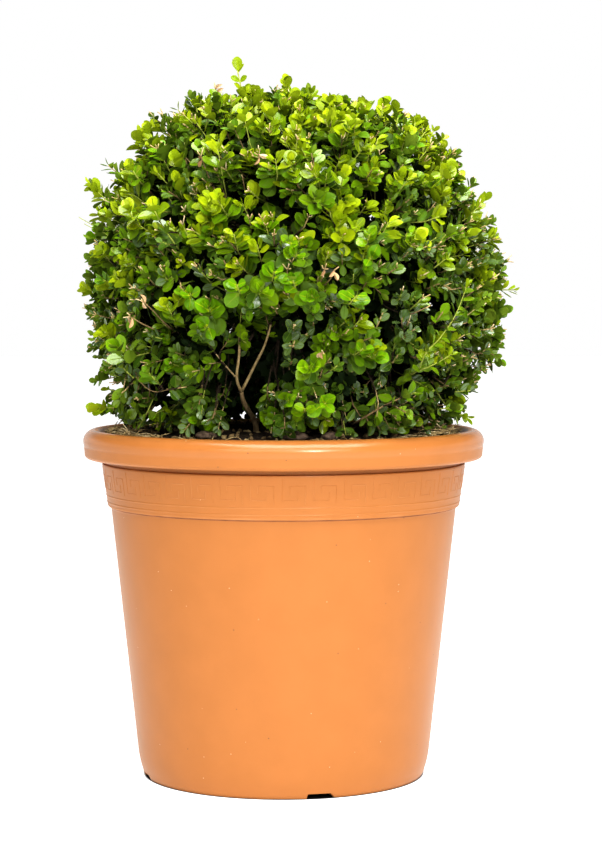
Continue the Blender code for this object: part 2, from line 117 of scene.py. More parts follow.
CHANNEL = (
    (CHANNEL_OUTER, 0),
    (CHANNEL_OUTER - CHANNEL_SLOPE, CHANNEL_HEIGHT),
    (CHANNEL_INNER + CHANNEL_SLOPE, CHANNEL_HEIGHT),
    (CHANNEL_INNER, 0),
)
INSIDE_HEIGHTS = (FLOOR_TOP + FLOOR_ROUND, BODY_FOOT, 0.15, BAND_FOOT, 0.324)
MOUTH_FOOT = 0.335

# Finishes of the pot's strips, and where they lie under the band's foot
PLAIN, WORN_HIGHLIT, GROOVE_SHADE, POLISHED = range(4)
# Paler strips on the band's foot edge and beads: wear, and a painted highlight
WORN_HIGHLIT_EDGE = (-0.0028, -0.0012)
# Painted shade: the groove under the band's foot is coloured darker
GROOVE_SHADE_SPAN = (-0.0044, -0.0028)

# Greek-key relief on the band: centre lines of one repeat, as (along, low, along, high)
KEY_REPEATS = 38
KEY_LINE = 0.0011
KEY_BEVEL = KEY_LINE * 0.22
KEY_RISE = 0.00019
KEY_SINK = 0.0004
KEY_CUT = 0.004
KEY_STROKES = (
    (0, 0.2885, 0, 0.3085),
    (0, 0.2885, 0.015, 0.2885),
    (0.015, 0.2885, 0.015, 0.2955),
    (0.007, 0.302, 0.022, 0.302),
    (0.007, 0.2955, 0.007, 0.302),
    (0.022, 0.2857, 0.022, 0.302),
)

# Soil, with its lumps as (pattern scale, height), and stones
SEAT_GAP = 0.0003
SOIL_EDGE = 0.3405
SOIL_TOP = 0.346
SOIL_FLAT = 0.06
SOIL_END = ROLL_MOUTH - 0.002
SOIL_ROOM = 0.0015
SOIL_RINGS = 38
SOIL_COLUMNS = 144
SOIL_LUMPS = ((60, 0.0016), (190, 0.0013), (430, 0.0006))
STONES = (
    ("stone_left", (-0.073, -0.128), (0.013, 0.0095, 0.0044)),
    ("stone_middle", (0.012, -0.146), (0.012, 0.0085, 0.0046)),
    ("stone_right", (0.045, -0.14), (0.0085, 0.007, 0.0042)),
    ("stone_back", (0.096, 0.098), (0.011, 0.009, 0.0044)),
)
STONE_LIFT = 0.75
STONE_DENTS = ((1.3, 0.22), (3.4, 0.1), (9, 0.04))

# Litter: straws in heaps by the wall, as (azimuth, half width, share), and chips all over
STRAWS = 660
STRAW_HEAPS = ((3.45, 0.42, 0.3), (-0.4, 0.36, 0.25), (1.57, 1.1, 0.3), (0, math.pi, 0.15))
STRAW_LENGTH = (0.006, 0.02)
STRAW_RADII = (0.0005, 0.0006, 0.0003)
HEAP_HEIGHT = 0.007
CHIPS = 300
CHIP_SIZE = (0.001, 0.0026)

# Trunk, boughs and low stems
TRUNK_FOOT = 0.019
TRUNK_RADIUS = 0.0115
TRUNK_TIP_RADIUS = 0.008
TRUNK_TOP = 0.426
FLARE_HEIGHT = 0.012
TRUNK_LEAN = Vector((0.1, 0, 1))
BOUGH_RADII = (0.0056, 0.004)
BOUGH_LOW = 0.376
BOUGH_STAGGER = 0.017
BOUGH_REACH = 0.074
BOUGH_TIP_HEIGHT = 0.46
BOUGH_RISE = math.radians(40)
LEADER_TOP = 0.54
STEM_RADII = (0.0036, 0.0026)
LOW_STEMS = (
    ("stem_front_left", (-0.026, -0.066), (-0.04, -0.094)),
    ("stem_front_right", (0.052, -0.064), (0.06, -0.092)),
    ("stem_right", (0.08, 0.004), (0.11, 0.012)),
    ("stem_back", (0.014, 0.076), (0.024, 0.104)),
    ("stem_left", (-0.068, 0.022), (-0.094, 0.034)),
)
STEM_THINNING = 0.8
CURVE_EASE = 2.6
BARK_SIDES = 18
BARK_STEP = 0.0022
BARK_RELIEF = 0.07
BARK_PATTERNS = ((420, 420, 90), (150, 150, 210))

# Crown
CROWN_CENTRE = Vector((0.008, 0, 0.484))
CROWN_RADIUS = 0.2135
SHOULDER_RISE = 0.009
SHOULDER_AT = math.radians(54)
SHOULDER_WIDTH = math.radians(16)
SKIRT_SPREAD = 0.0085
SKIRT_START = math.radians(-14)
SKIRT_RANGE = math.radians(18)
RIGHT_BULGE = 0.01
BULGE_FADES = ((-0.45, -0.1), (0.85, 0.5))
CROWN_LUMPS = ((2.6, 0.007), (6.5, 0.006))
TOP_TILT = 0.05
TOP_TILT_FROM = 0.75
TOP_SINK = 0.045
CORE_LOW = math.radians(-42)
TOP_START = math.radians(50)
SIDE_COUNT = 6
SIDE_HALF = math.pi / SIDE_COUNT
SIDE_NAMES = ("front", "front_right", "back_right", "back", "back_left", "front_left")
HUB_REACH = 0.052
HUB_RADII = (0.004, 0.0036, 0.003)
GOLDEN_SHARE = 0.6180339887
BRANCHES = 15
BRANCH_EDGE = math.radians(4)
BRANCH_TIP = 0.156
BRANCH_RADII = (0.0024, 0.0013)
SHOOTS = 206
SHOOT_EDGE = math.radians(0.6)
SHOOT_JITTER = 0.035
SHOOT_RADII = (0.0011, 0.0006)
SHOOT_SINK = 0.0105
STUB_RADII = (0.00068, 0.00066, 0.00062)
STUB_LENGTHS = (0.0025, 0.0095)
CLIPPED_SHARE = 0.5
CLIPPED_BARE = 0.0035
FORK_CLIPPED_SHARE = 0.3
TIP_SPREAD = (-0.016, 0.003)
SHOOT_RISES = (0.45, 1.5)
SIDE_SHOOT_SHARE = 0.35
CROWN_FLOOR = 0.3545
FLOOR_SPREAD = 0.016
RIM_CLEARANCE = 0.002
RIM_ROOM = 0.012
RIM_DROOP = 0.1
SOIL_DROOP = 0.12

# Hollows in the lower front, where the foliage lies deeper: place (x, z) as seen, half width and depth;
# shoots there take darker kinds, partly older leaves and partly painted shade in the recess
HOLLOWS = (
    ((-0.045, 0.405), 0.05, 0.05),
    ((0.07, 0.385), 0.042, 0.036),
    ((-0.118, 0.372), 0.036, 0.03),
    ((0.122, 0.375), 0.03, 0.024),
)
HOLLOW_START = 0.008
HOLLOW_KINDS = ("blue", "deep", "blue", "shade")
LOW_THINNING = 0.4
MID_THINNING = 0.4

# Inner and low growth
INNER_SPRAYS = 4
SHADE_SHOOTS = 90
SHADE_REACH = (0.66, 0.86)
LOW_SHOOTS = 104
LOW_RING = (0.045, 0.176)
LOW_OUTER = 0.135
LOW_INNER = 0.11
# The outer low shoots take darker kinds: partly older leaves, partly painted shade under the crown
LOW_OUTSIDE = (0.034, ("deep", "blue", "blue", "blue", "mid"))
# The inner low shoots take near-black kinds, as painted shade
LOW_INSIDE = (0.08, ("shade", "dark"))
LOW_FLOOR = 0.348

# Bright new shoots and dead leaves on the front, each at a place (x, z) as seen from there
GREEN_BELOW = 0.545
NEW_LIFT = 0.004
NEW_SHOOTS = (
    (-0.068, 0.563), (-0.059, 0.567), (-0.006, 0.605), (0.009, 0.603), (0.057, 0.591), (-0.041, 0.489),
    (-0.007, 0.501), (0.01, 0.494), (0.007, 0.528), (0.014, 0.518), (-0.018, 0.485), (0.027, 0.48),
    (0.08, 0.535), (0.082, 0.514), (0.069, 0.48), (-0.067, 0.469), (-0.071, 0.45), (-0.145, 0.601),
    (-0.131, 0.639), (-0.145, 0.56), (-0.121, 0.562), (-0.06, 0.615), (-0.036, 0.647), (0.025, 0.415),
    (0.011, 0.43), (0.075, 0.431), (0.087, 0.425), (0.006, 0.383), (0.021, 0.375), (0.04, 0.38),
    (-0.078, 0.377), (-0.046, 0.378), (-0.087, 0.417), (-0.156, 0.43), (0.118, 0.634),
)
DEAD_LEAVES = (
    (0.039, 0.504), (0.048, 0.503), (0.037, 0.428), (-0.144, 0.46), (-0.13, 0.474), (-0.076, 0.609),
    (-0.022, 0.61), (-0.066, 0.68),
)

# Tips and kinds of the shoots that stray out of the clipped outline
STRAYS = (
    ((-0.186, -0.02, 0.583), "fresh"),
    ((-0.172, -0.03, 0.606), "mid"),
    ((-0.203, -0.01, 0.556), "bare"),
    ((-0.196, -0.03, 0.549), "bare"),
    ((0.118, -0.02, 0.653), "pair"),
    ((0.229, -0.01, 0.484), "fresh"),
    ((-0.184, -0.06, 0.369), "fresh"),
    ((-0.174, -0.03, 0.364), "mid"),
    ((0.179, -0.062, 0.36), "fresh"),
    ((0.004, -0.02, 0.688), "new"),
    ((-0.197, -0.02, 0.484), "fresh"),
    ((-0.185, -0.02, 0.394), "mid"),
    ((-0.196, 0.05, 0.59), "fresh"),
    ((0.12, 0.185, 0.545), "new"),
    ((0.205, 0.06, 0.575), "fresh"),
    ((-0.06, 0.205, 0.56), "new"),
)

# The tall shoot's foot and tip, and its leaves: distance back, ways that each points and faces, length
TALL_SHOOT = ((-0.032, -0.016, 0.64), (-0.045, -0.02, 0.699))
TALL_LEAVES = (
    (0, (-0.05, 0, 1), (0, -1, 0.15), 0.0145),
    (0.002, (0.5, 0.05, 0.9), (-0.75, -0.5, 0.4), 0.011),
    (0.0105, (-0.85, -0.3, 0.45), (-0.3, -0.75, 0.6), 0.0105),
    (0.011, (0.7, -0.35, 0.65), (-0.2, -0.8, 0.5), 0.0095),
    (0.02, (-0.6, -0.5, 0.6), (-0.3, -0.6, 0.7), 0.012),
    (0.0205, (0.6, -0.4, 0.5), (0.3, -0.6, 0.7), 0.012),
)

# Twigs that are seen in hollows of the lower front: kind, first and last radius, then places
FORK, UPPER_FORK = (-0.04, -0.094, 0.386), (-0.044, -0.108, 0.4)
SPRIG_FOOT = (0.115, -0.09, 0.4)
SEEN_TWIGS = (
    ("bare", (0.0017, 0.0011), FORK, UPPER_FORK, (-0.0415, -0.118, 0.422), (-0.0405, -0.135, 0.442)),
    ("bare", (0.0017, 0.001), FORK, (-0.025, -0.11, 0.416), (-0.017, -0.122, 0.432), (-0.011, -0.138, 0.452)),
    ("bare", (0.001, 0.0006), UPPER_FORK, (-0.053, -0.122, 0.411), (-0.063, -0.135, 0.424)),
    (
        "brown", (0.001, 0.0006),
        (0.066, -0.115, 0.356), (0.08, -0.14, 0.366), (0.096, -0.148, 0.376), (0.111, -0.15, 0.383),
    ),
    (
        "leafy", (0.0008, 0.0004), SPRIG_FOOT, (0.128, -0.136, 0.409), (0.135, -0.152, 0.426),
        (0.148, -0.153, 0.44), (0.163, -0.145, 0.462), (0.174, -0.139, 0.49),
    ),
    (
        "leafy", (0.0008, 0.0004),
        SPRIG_FOOT, (0.13, -0.14, 0.409), (0.143, -0.15, 0.415), (0.159, -0.146, 0.424),
    ),
    (
        "brown", (0.0007, 0.0004),
        (-0.142, -0.09, 0.405), (-0.135, -0.115, 0.396), (-0.122, -0.126, 0.388), (-0.108, -0.13, 0.39),
    ),
)
WINDOWS = {"bare": 0.008, "brown": 0.0055, "leafy": 0.0135}
STEM_WINDOW = 0.0025
WINDOW_FRONT = -0.07
WINDOW_TOP = 0.51

# Spots (x, z) low at the sides where the sky shows through, as seen in the plane through the pot's axis
SKY_SPOTS = (
    (-0.1746, 0.3921), (-0.1655, 0.3862), (-0.1536, 0.3671), (-0.1305, 0.3651), (-0.1235, 0.3651),
    (-0.1146, 0.3781), (0.1554, 0.3911), (0.1544, 0.3781), (0.1394, 0.3641), (0.1614, 0.3641),
    (0.1894, 0.3771),
)
SKY_HALF = 0.004
SKY_TOP = 0.4

# Studio, and the photograph's camera
FLOOR_SIZE = 14
FLOOR_DROP = -0.0005
FLOOR_WHITE = (0.45,) * 3
# Painted shadow where the pot stands: the floor's near-black colour there, and the span over which it fades
# out
PAINTED_SHADOW_BLACK = (0.02,) * 3
BASE_SHADE = (0.1395, 0.1418)
NEAR_GLOW = (1,) * 3
FAR_GLOW = (0.98,) * 3
SIDE_GLOW = (0.96,) * 3
SIDE_FLOOR = (0.7,) * 3
GLOW_RANGE = (0.6, 3.5)
SKY_DIM = (0.12,) * 3
HORIZON = (0.18, 0.33)
BACKDROP_TURNS = (0.86, 0.955)
BLACK, WHITE = (0, 0, 0), (1, 1, 1)
LAMPS = {
    "overhead softbox": ((0.2, -0.65, 2.7), (0, 0, 0.5), (2.4, 2.4), 170),
    "front softbox": ((0.05, -2.75, 1.7), (0, 0, 0.35), (4, 1.1), 47),
    "small lamp": ((0.8, -2.55, 1.15), (0, 0, 0.4), (0.34, 0.34), 28),
}
PRINT_GAMMA = 0.82
EYE = Vector((0.0174, -2.4539, 0.4899))
LENS = 102.33
SENSOR = 36
TILT = math.radians(90 - 3.4488)

# Colours of the pot and the soil: places in a pattern with their colours
TERRACOTTA = (0.444, 0.176, 0.046)
MOTTLE = ((0.3, (0.432, 0.171, 0.044)), (0.7, (0.456, 0.181, 0.048)))
# Paler terracotta of the worn edges and the key: wear, and a painted highlight
WORN_HIGHLIT_TERRACOTTA = (0.52, 0.24, 0.1)
WORN_HIGHLIGHT_STOPS = ((0.42, (0.45, 0.178, 0.046)), (0.66, (0.49, 0.216, 0.075)))
PALE_SPECK = (0.68, 0.5, 0.34)
DARK_SPECK = (0.16, 0.08, 0.04)
PLAIN_EARTH = (0.05, 0.03, 0.02)
EARTH = (
    (0.3, (0.018, 0.012, 0.008)),
    (0.5, (0.05, 0.032, 0.02)),
    (0.62, (0.095, 0.062, 0.036)),
    (0.75, (0.2, 0.14, 0.08)),
)

# Rough materials: low and high colour, scale and depth of the pattern, and its stretch if uneven
ROUGH = {
    # Painted shade for the groove under the band's foot
    "groove shade plastic": ((0.24, 0.1, 0.045), (0.36, 0.15, 0.065), 60, 0.0001),
    "stone": ((0.09, 0.06, 0.04), (0.27, 0.19, 0.13), 240, 0.0008),
    "bark": ((0.17, 0.11, 0.05), (0.42, 0.3, 0.15), 300, 0.0008, (1, 1, 0.25)),
    "brown twig": ((0.17, 0.11, 0.05), (0.34, 0.24, 0.11), 420, 0.0003),
    "tan twig": ((0.36, 0.26, 0.11), (0.58, 0.44, 0.22), 420, 0.0003),
    "cut twig": ((0.5, 0.38, 0.2), (0.72, 0.6, 0.38), 420, 0.0002),
    "green twig": ((0.28, 0.34, 0.05), (0.4, 0.42, 0.09), 420, 0.0002),
    # Wood painted near black as shade, for the crown's inner wood
    "shade-dark twig": ((0.022, 0.015, 0.008), (0.055, 0.037, 0.019), 420, 0.0003),
}
BROWN, TAN, CUT, GREEN, SHADE_WOOD = range(5)
TWIG_WOODS = list(ROUGH)[-5:]

# Leaves: rows of the outline and of the midrib as shares of the length, the midrib's half width as a
# share of it, and how far the pale under side shows past the upper side
FULL_LEAF = ((0.1, 0.32, 0.56, 0.78, 0.94), (0.28, 0.72), 0.024, 0.0004)
PLAIN_LEAF = ((0.35, 0.8), (0.55,), 0, 0)
LEAF_THICKNESS = 0.00035
MARGIN_GAP = 0.00006

# Powers that shape a leaf's outline, and where the last row lies on a leaf that the shears cut
BROAD_AT = 1.3
FULLNESS = 0.62
CUT_ROW = 0.99

# Width ratio, fold, curl and share left of the inner leaves and of the tall shoot's leaves
INNER_SHAPE = (0.66, 0.1, 0.1, 1)
TALL_SHAPE = (0.72, 0.25, 0.05, 1)

# Gloss of the variants of each tone, as (roughness, specular, coat), and their plain colours
VARIANTS = 3
YOUNG = ((0.36, 0.1, 0.04), (0.28, 0.16, 0.18), (0.2, 0.24, 0.4))
GROWN = ((0.42, 0.06, 0), (0.32, 0.14, 0.08), (0.22, 0.34, 0.36))
AGED = ((0.4, 0.26, 0), (0.31, 0.48, 0.12), (0.22, 0.7, 0.45))
DULL = ((0.6, 0.08, 0),) * VARIANTS
LEAF_TONES = {
    "lime": (YOUNG, (0.31, 0.385, 0.005), (0.265, 0.35, 0.004), (0.37, 0.44, 0.008)),
    "fresh": (YOUNG, (0.24, 0.318, 0.003), (0.288, 0.358, 0.004), (0.196, 0.282, 0.003)),
    "green": (YOUNG, (0.15, 0.3, 0.002), (0.125, 0.268, 0.002), (0.185, 0.33, 0.003)),
    "mid": (GROWN, (0.142, 0.258, 0.003), (0.108, 0.214, 0.003), (0.172, 0.284, 0.004)),
    "deep": (AGED, (0.078, 0.15, 0.01), (0.106, 0.188, 0.014), (0.056, 0.116, 0.008)),
    "blue": (AGED, (0.108, 0.166, 0.06), (0.142, 0.206, 0.084), (0.078, 0.128, 0.042)),
    # The dark tone is painted shade: near-black leaves deep inside the crown
    "dark": (DULL, (0.008, 0.018, 0.003), (0.011, 0.024, 0.004), (0.006, 0.013, 0.002)),
    "dead": (DULL, (0.52, 0.35, 0.19), (0.36, 0.22, 0.11), (0.6, 0.44, 0.27)),
    "rib": (DULL, (0.11, 0.18, 0.018), (0.14, 0.21, 0.026), (0.09, 0.155, 0.014)),
    "under": (DULL, (0.14, 0.21, 0.016), (0.11, 0.175, 0.013), (0.17, 0.24, 0.022)),
    "under_lime": (DULL, (0.29, 0.375, 0.01), (0.25, 0.335, 0.008), (0.33, 0.41, 0.014)),
}
TONE_NAMES = tuple(LEAF_TONES)
UNDER_TONES = {"lime": "under_lime", "fresh": "under_lime", "dead": "dead", "dark": "dark"}
RIB_TONES = {"dark": "dark", "dead": "dead", "deep": "rib", "blue": "rib", "mid": "under"}

# Sprays: the range of leaf lengths, and the tone of each pair of leaves from the tip back; the near-black
# dark tone of the pairs far back is painted shade
SPRAYS = {
    "olive": ((0.0115, 0.014), ("fresh",) * 2 + ("mid",) * 6),
    "new": ((0.014, 0.019), ("lime", "lime", "fresh", "mid", "mid", "deep", "deep", "dark")),
    "green": ((0.013, 0.0185), ("green",) * 3 + ("mid", "deep", "deep", "dark", "dark")),
    "fresh": ((0.013, 0.0185), ("fresh",) * 3 + ("mid", "mid", "deep", "deep", "dark")),
    "mid": ((0.0125, 0.018), ("mid",) * 4 + ("deep", "deep", "dark", "dark")),
    "deep": ((0.01, 0.0155), ("deep",) * 5 + ("dark",) * 3),
    "blue": ((0.009, 0.0145), ("blue",) * 3 + ("deep", "blue") + ("dark",) * 3),
    "shade": ((0.014, 0.02), ("deep",) + ("dark",) * 7),
    "dark": ((0.0125, 0.018), ("dark",) * 8),
}

# Pairs of leaves by rank from the tip back: gap, size and splay in degrees
PAIR_GAPS = (0.0005, 0.0045, 0.006, 0.007, 0.0075, 0.008, 0.0085, 0.0085)
PAIR_SIZES = (0.6, 0.82, 0.98, 1, 1.02, 1.05, 1, 1)
PAIR_SPLAYS = (26, 42, 52, 58, 62, 66, 70, 72)

# How single sprays and leaves vary, and what share of the leaves is missing, uncut or creased
SPREADS = (-12, 10)
YOUNG_RATIO = (0.72, 0.92)
GROWN_RATIO = (0.54, 0.76)
TWIG_HALF = 0.0006
FLAT_SHARE = 0.55
FLAT_FACING = (0.6, 1.8)
LOOSE_FACING = (0, 0.6)
MISSING_SHARE = 0.12
MISSED_SHARE = 0.4
LEAST_LEFT = 0.45
CREASED_SHARE = 0.55

# How common each kind of spray is at the crown's foot, and how much that rises up to its top; the darker
# kinds low down are partly older leaves and partly painted shade
KIND_WEIGHTS = {
    "new": (0, 0.17),
    "green": (0.1, -0.06),
    "fresh": (0.05, 0.48),
    "mid": (0.3, 0.02),
    "deep": (0.34, -0.27),
    "blue": (0.3, -0.36),
}
KIND_HEIGHT = 0.4
KIND_RANGE = 0.26
LEAST_WEIGHT = 0.02

# Noise as (scale, detail), relief as (strength, depth), specks as (scale, size, share of the cells)
MOTTLE_NOISE = (34, 8)
PALE_SPECKS = (75, 0.036, 0.4)
DARK_SPECKS = (62, 0.036, 0.36)
POT_GRAIN = ((900, 2), (0.05, 0.0002))
WORN_HIGHLIT_NOISE = (24, 3)
EARTH_NOISE = (260, 6)
EARTH_GRAIN = ((700, 5), (0.9, 0.001))
ROUGH_DETAIL = 6
ROUGH_STRENGTH = 0.6
ROUGH_STOPS = (0.35, 0.65)
LEAF_GRAIN = ((150, 1), (1, 0.0009))
COAT_ROUGHNESS = 0.15

# Finishes of the surfaces, as (roughness, specular)
SATIN = (0.36, 0.28)
POLISH = (0.24, 0.5)
WORN = (0.5, 0.25)
MATT = (0.85, 0.25)
EARTHY = (0.95, 0.2)
PAINTED = (0.7, 0.1)


def give(tree, socket, given):
    """Links another socket to this one, or sets its value or colour."""
    if isinstance(given, bpy.types.NodeSocket):
        tree.links.new(given, socket)
    elif socket.type == "RGBA":
        socket.default_value = (*given, 1)
    else:
        socket.default_value = given


def add_node(tree, kind, inputs=None, **settings):
    """A node with its settings, its inputs given by name or number as values or sockets."""
    node = tree.nodes.new("ShaderNode" + kind)
    for name, value in settings.items():
        setattr(node, name, value)
    for name, given in (inputs or {}).items():
        give(tree, node.inputs[name], given)
    return node


def principled(name, colour, roughness, specular):
    """A material with a plain base colour; patterns are added to its node tree."""
    made = bpy.data.materials.new(name)
    made.use_nodes = True
    tree = made.node_tree
    shader = tree.nodes["Principled BSDF"]
    give(tree, shader.inputs["Base Color"], colour)
    give(tree, shader.inputs["Roughness"], roughness)
    give(tree, shader.inputs["Specular IOR Level"], specular)
    return made, tree, shader


def noise_node(tree, scale, detail, stretch=(1, 1, 1)):
    """Noise in the piece's own coordinates, in metres."""
    place = add_node(tree, "TexCoord").outputs["Object"]
    spot = add_node(tree, "Mapping", {"Vector": place, "Scale": stretch}).outputs["Vector"]
    return add_node(tree, "TexNoise", {"Vector": spot, "Scale": scale, "Detail": detail}).outputs["Fac"]


def add_bump(tree, shader, height, strength, depth):
    bump = add_node(tree, "Bump", {"Height": height, "Strength": strength, "Distance": depth})
    give(tree, shader.inputs["Normal"], bump.outputs["Normal"])


def add_grain(tree, shader, pattern, relief):
    add_bump(tree, shader, noise_node(tree, *pattern), *relief)


def ramp_node(tree, value, stops):
    """Colours between (place, colour) stops."""
    node = add_node(tree, "ValToRGB", {"Fac": value})
    elements = node.color_ramp.elements
    while len(elements) < len(stops):
        elements.new(0.5)
    for element, (place, colour) in zip(elements, stops):
        element.position = place
        element.color = (*colour, 1)
    return node.outputs["Color"]


def rising_share(tree, value, start, end):
    """0 below the start, 1 above the end and an even rise between."""
    return add_node(tree, "MapRange", {"Value": value, "From Min": start, "From Max": end}).outputs["Result"]


def mixed(tree, share, first, second):
    """A mix of two colours; each may be a plain colour or a socket."""
    return add_node(tree, "Mix", {0: share, 6: first, 7: second}, data_type="RGBA").outputs[2]


def reckon(tree, operation, first, second):
    return add_node(tree, "Math", {0: first, 1: second}, operation=operation).outputs[0]


def speck_mask(tree, scale, size, share):
    """White dots of about size / scale metres in some of the cells of a Voronoi pattern."""
    place = add_node(tree, "TexCoord").outputs["Object"]
    cells = add_node(tree, "TexVoronoi", {"Vector": place, "Scale": scale})
    red = add_node(tree, "SeparateColor", {"Color": cells.outputs["Color"]}).outputs[0]
    near = reckon(tree, "LESS_THAN", cells.outputs["Distance"], size)
    return reckon(tree, "MULTIPLY", near, reckon(tree, "LESS_THAN", red, share))


def pot_material(name, finish):
    """Terracotta-coloured plastic: faint mottling and dust, and a few specks."""
    made, tree, shader = principled(name, TERRACOTTA, *finish)
    mottle = ramp_node(tree, noise_node(tree, *MOTTLE_NOISE), MOTTLE)
    pale = mixed(tree, speck_mask(tree, *PALE_SPECKS), mottle, PALE_SPECK)
    give(tree, shader.inputs["Base Color"], mixed(tree, speck_mask(tree, *DARK_SPECKS), pale, DARK_SPECK))
    add_grain(tree, shader, *POT_GRAIN)
    return made


def patterned(name, base, finish, pattern, stops):
    """A material whose colour wanders with a noise pattern, with its tree, shader and pattern."""
    made, tree, shader = principled(name, base, *finish)
    wander = noise_node(tree, *pattern)
    give(tree, shader.inputs["Base Color"], ramp_node(tree, wander, stops))
    return made, tree, shader, wander


def soil_material():
    made, tree, shader, _ = patterned("potting soil", PLAIN_EARTH, EARTHY, EARTH_NOISE, EARTH)
    add_grain(tree, shader, *EARTH_GRAIN)
    return made


def rough_material(name):
    """A matt natural surface that wanders between two colours."""
    low, high, scale, depth, *stretch = ROUGH[name]
    pattern = (scale, ROUGH_DETAIL, *stretch)
    made, tree, shader, wander = patterned(name, high, MATT, pattern, tuple(zip(ROUGH_STOPS, (low, high))))
    add_bump(tree, shader, wander, ROUGH_STRENGTH, depth)
    return made


def leaf_materials():
    """Waxy leaves in plain colours, one material for each variant of a tone, later variants glossier."""
    materials = []
    for tone, (glosses, *colours) in LEAF_TONES.items():
        for variant, (colour, (roughness, specular, coat)) in enumerate(zip(colours, glosses), 1):
            made, tree, shader = principled(f"leaf {tone} {variant}", colour, roughness, specular)
            give(tree, shader.inputs["Coat Weight"], coat)
            give(tree, shader.inputs["Coat Roughness"], COAT_ROUGHNESS)
            add_grain(tree, shader, *LEAF_GRAIN)
            materials.append(made)
    return materials


def new_piece(name, data, materials=()):
    piece = bpy.data.objects.new(name, data)
    bpy.context.scene.collection.objects.link(piece)
    for made in materials:
        data.materials.append(made)
    return piece


def place_piece(piece, slot, *nodes):
    """The piece moves with the one body, and stands for these nodes."""
    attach(piece, "root")
    if nodes:
        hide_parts(*nodes)


def mesh_of(name, points, faces, smooth=True):
    mesh = bpy.data.meshes.new(name)
    mesh.from_pydata(points, [], faces)
    mesh.polygons.foreach_set("use_smooth", [smooth] * len(mesh.polygons))
    mesh.update()
    return mesh


def mesh_from(form, name, smooth=True):
    mesh = bpy.data.meshes.new(name)
    form.to_mesh(mesh)
    form.free()
    mesh.polygons.foreach_set("use_smooth", [smooth] * len(mesh.polygons))
    return mesh


def limited(share):
    return min(1, max(0, share))


def lumps(place, patterns, base=0, shift=Vector()):
    """A base with noise patterns added to it, each given by its scale and height."""
    return sum((noise.noise(place * scale + shift) * height for scale, height in patterns), base)


def round_place(radius, angle, height=0):
    return (radius * math.cos(angle), radius * math.sin(angle), height)


def arc(centre, radius, start, end, steps):
    """Profile points on an arc between two angles in degrees."""
    angles = [math.radians(start + (end - start) * step / steps) for step in range(steps + 1)]
    return [(centre[0] + radius * math.cos(a), centre[1] + radius * math.sin(a)) for a in angles]


def on_line(radius_at, *heights):
    return [(radius_at(height), height) for height in heights]


def band_radius(height):
    share = (height - BAND_FOOT) / (BAND_TOP - BAND_FOOT)
    return BAND_FOOT_RADIUS + (BAND_TOP_RADIUS - BAND_FOOT_RADIUS) * share


def body_radius(height):
    """Outer radius of the tapered body, which rounds in below its foot line to the base."""
    slope = (BODY_TOP_RADIUS - BODY_FOOT_RADIUS) / (BODY_TOP - BODY_FOOT)
    straight = BODY_FOOT_RADIUS + slope * (height - BODY_FOOT)
    rounding = BODY_FOOT_RADIUS - slope * (BODY_FOOT - BASE_TOP) - BASE_RADIUS
    below = max(0, BODY_FOOT - height) / (BODY_FOOT - BASE_TOP)
    return straight - rounding * below**3


def inside_line(clearance):
    """The pot's inside from the floor's corner up to the mouth, set in by a clearance."""
    outer = on_line(body_radius, *INSIDE_HEIGHTS)
    wall = [(radius - POT_WALL - clearance, height) for radius, height in outer]
    corner = (wall[0][0] - CORNER_ROUND, FLOOR_TOP + clearance)
    return [corner, *wall, (ROLL_MOUTH - CORNER_ROUND - clearance, MOUTH_FOOT)]


def bead(height):
    """A thin raised line round the band."""
    points = []
    for step in range(BEAD_STEPS, -1, -1):
        side = 2 * step / BEAD_STEPS - 1
        z = height + side * BEAD_WIDTH / 2
        points.append((band_radius(z) + BEAD_RISE * math.cos(side * math.pi / 2), z))
    return points


def pot_profile():
    """The pot's section, from the roll's top down the outside, under the base and up the inside."""
    low, high = BEAD_HEIGHTS
    roll = arc((RIM_RADIUS - ROLL_RADIUS, POT_HEIGHT - ROLL_RADIUS), ROLL_RADIUS, 90, 0, 14)
    lip = arc((LIP_RADIUS - LIP_ROUND, LIP_BOTTOM + LIP_ROUND), LIP_ROUND, 0, -90, 6)
    held = on_line(band_radius, BAND_TOP - BAND_INSET, high + BEAD_ROOM)
    between = on_line(band_radius, high - BEAD_ROOM, low + BEAD_ROOM)
    edge = arc((BAND_FOOT_RADIUS - BAND_ROUND, BAND_FOOT - BAND_INSET), BAND_ROUND, 8, -62, 5)
    band = [*BAND_STEP, *held, *bead(high), *between, *bead(low), *edge, *UNDER_BAND]
    wall = on_line(body_radius, *WALL_HEIGHTS)
    foot = [(BASE_RADIUS - inset, height) for inset, height in FOOT_ROUND]
    mouth = arc((ROLL_MOUTH + MOUTH_ROUND, POT_HEIGHT - MOUTH_ROUND), MOUTH_ROUND, 180, 90, 5)
    return [*roll, *SKIRT, *lip, *UNDER_LIP, *NECK, *band, *wall, *foot, *CHANNEL, *inside_line(0), *mouth]


def pot_columns():
    """Angles round the pot with how far the foot ring is lifted there, from 0 to 1 in a notch."""
    half = NOTCH_WIDTH / 2 / BASE_RADIUS
    slope = NOTCH_SLOPE / BASE_RADIUS
    lifts = {}
    for step in range(POT_COLUMNS):
        angle = step * math.tau / POT_COLUMNS
        turn = (angle - NOTCH_TURN + math.pi / NOTCH_COUNT) % (math.tau / NOTCH_COUNT)
        lifts[angle] = float(abs(turn - math.pi / NOTCH_COUNT) < half - slope)
    for index in range(NOTCH_COUNT):
        centre = NOTCH_TURN + index * math.tau / NOTCH_COUNT
        for side in (-1, 1):
            lifts[(centre + side * (half + slope)) % math.tau] = 0.0
            lifts[(centre + side * (half - slope)) % math.tau] = 1.0
    return sorted(lifts.items())


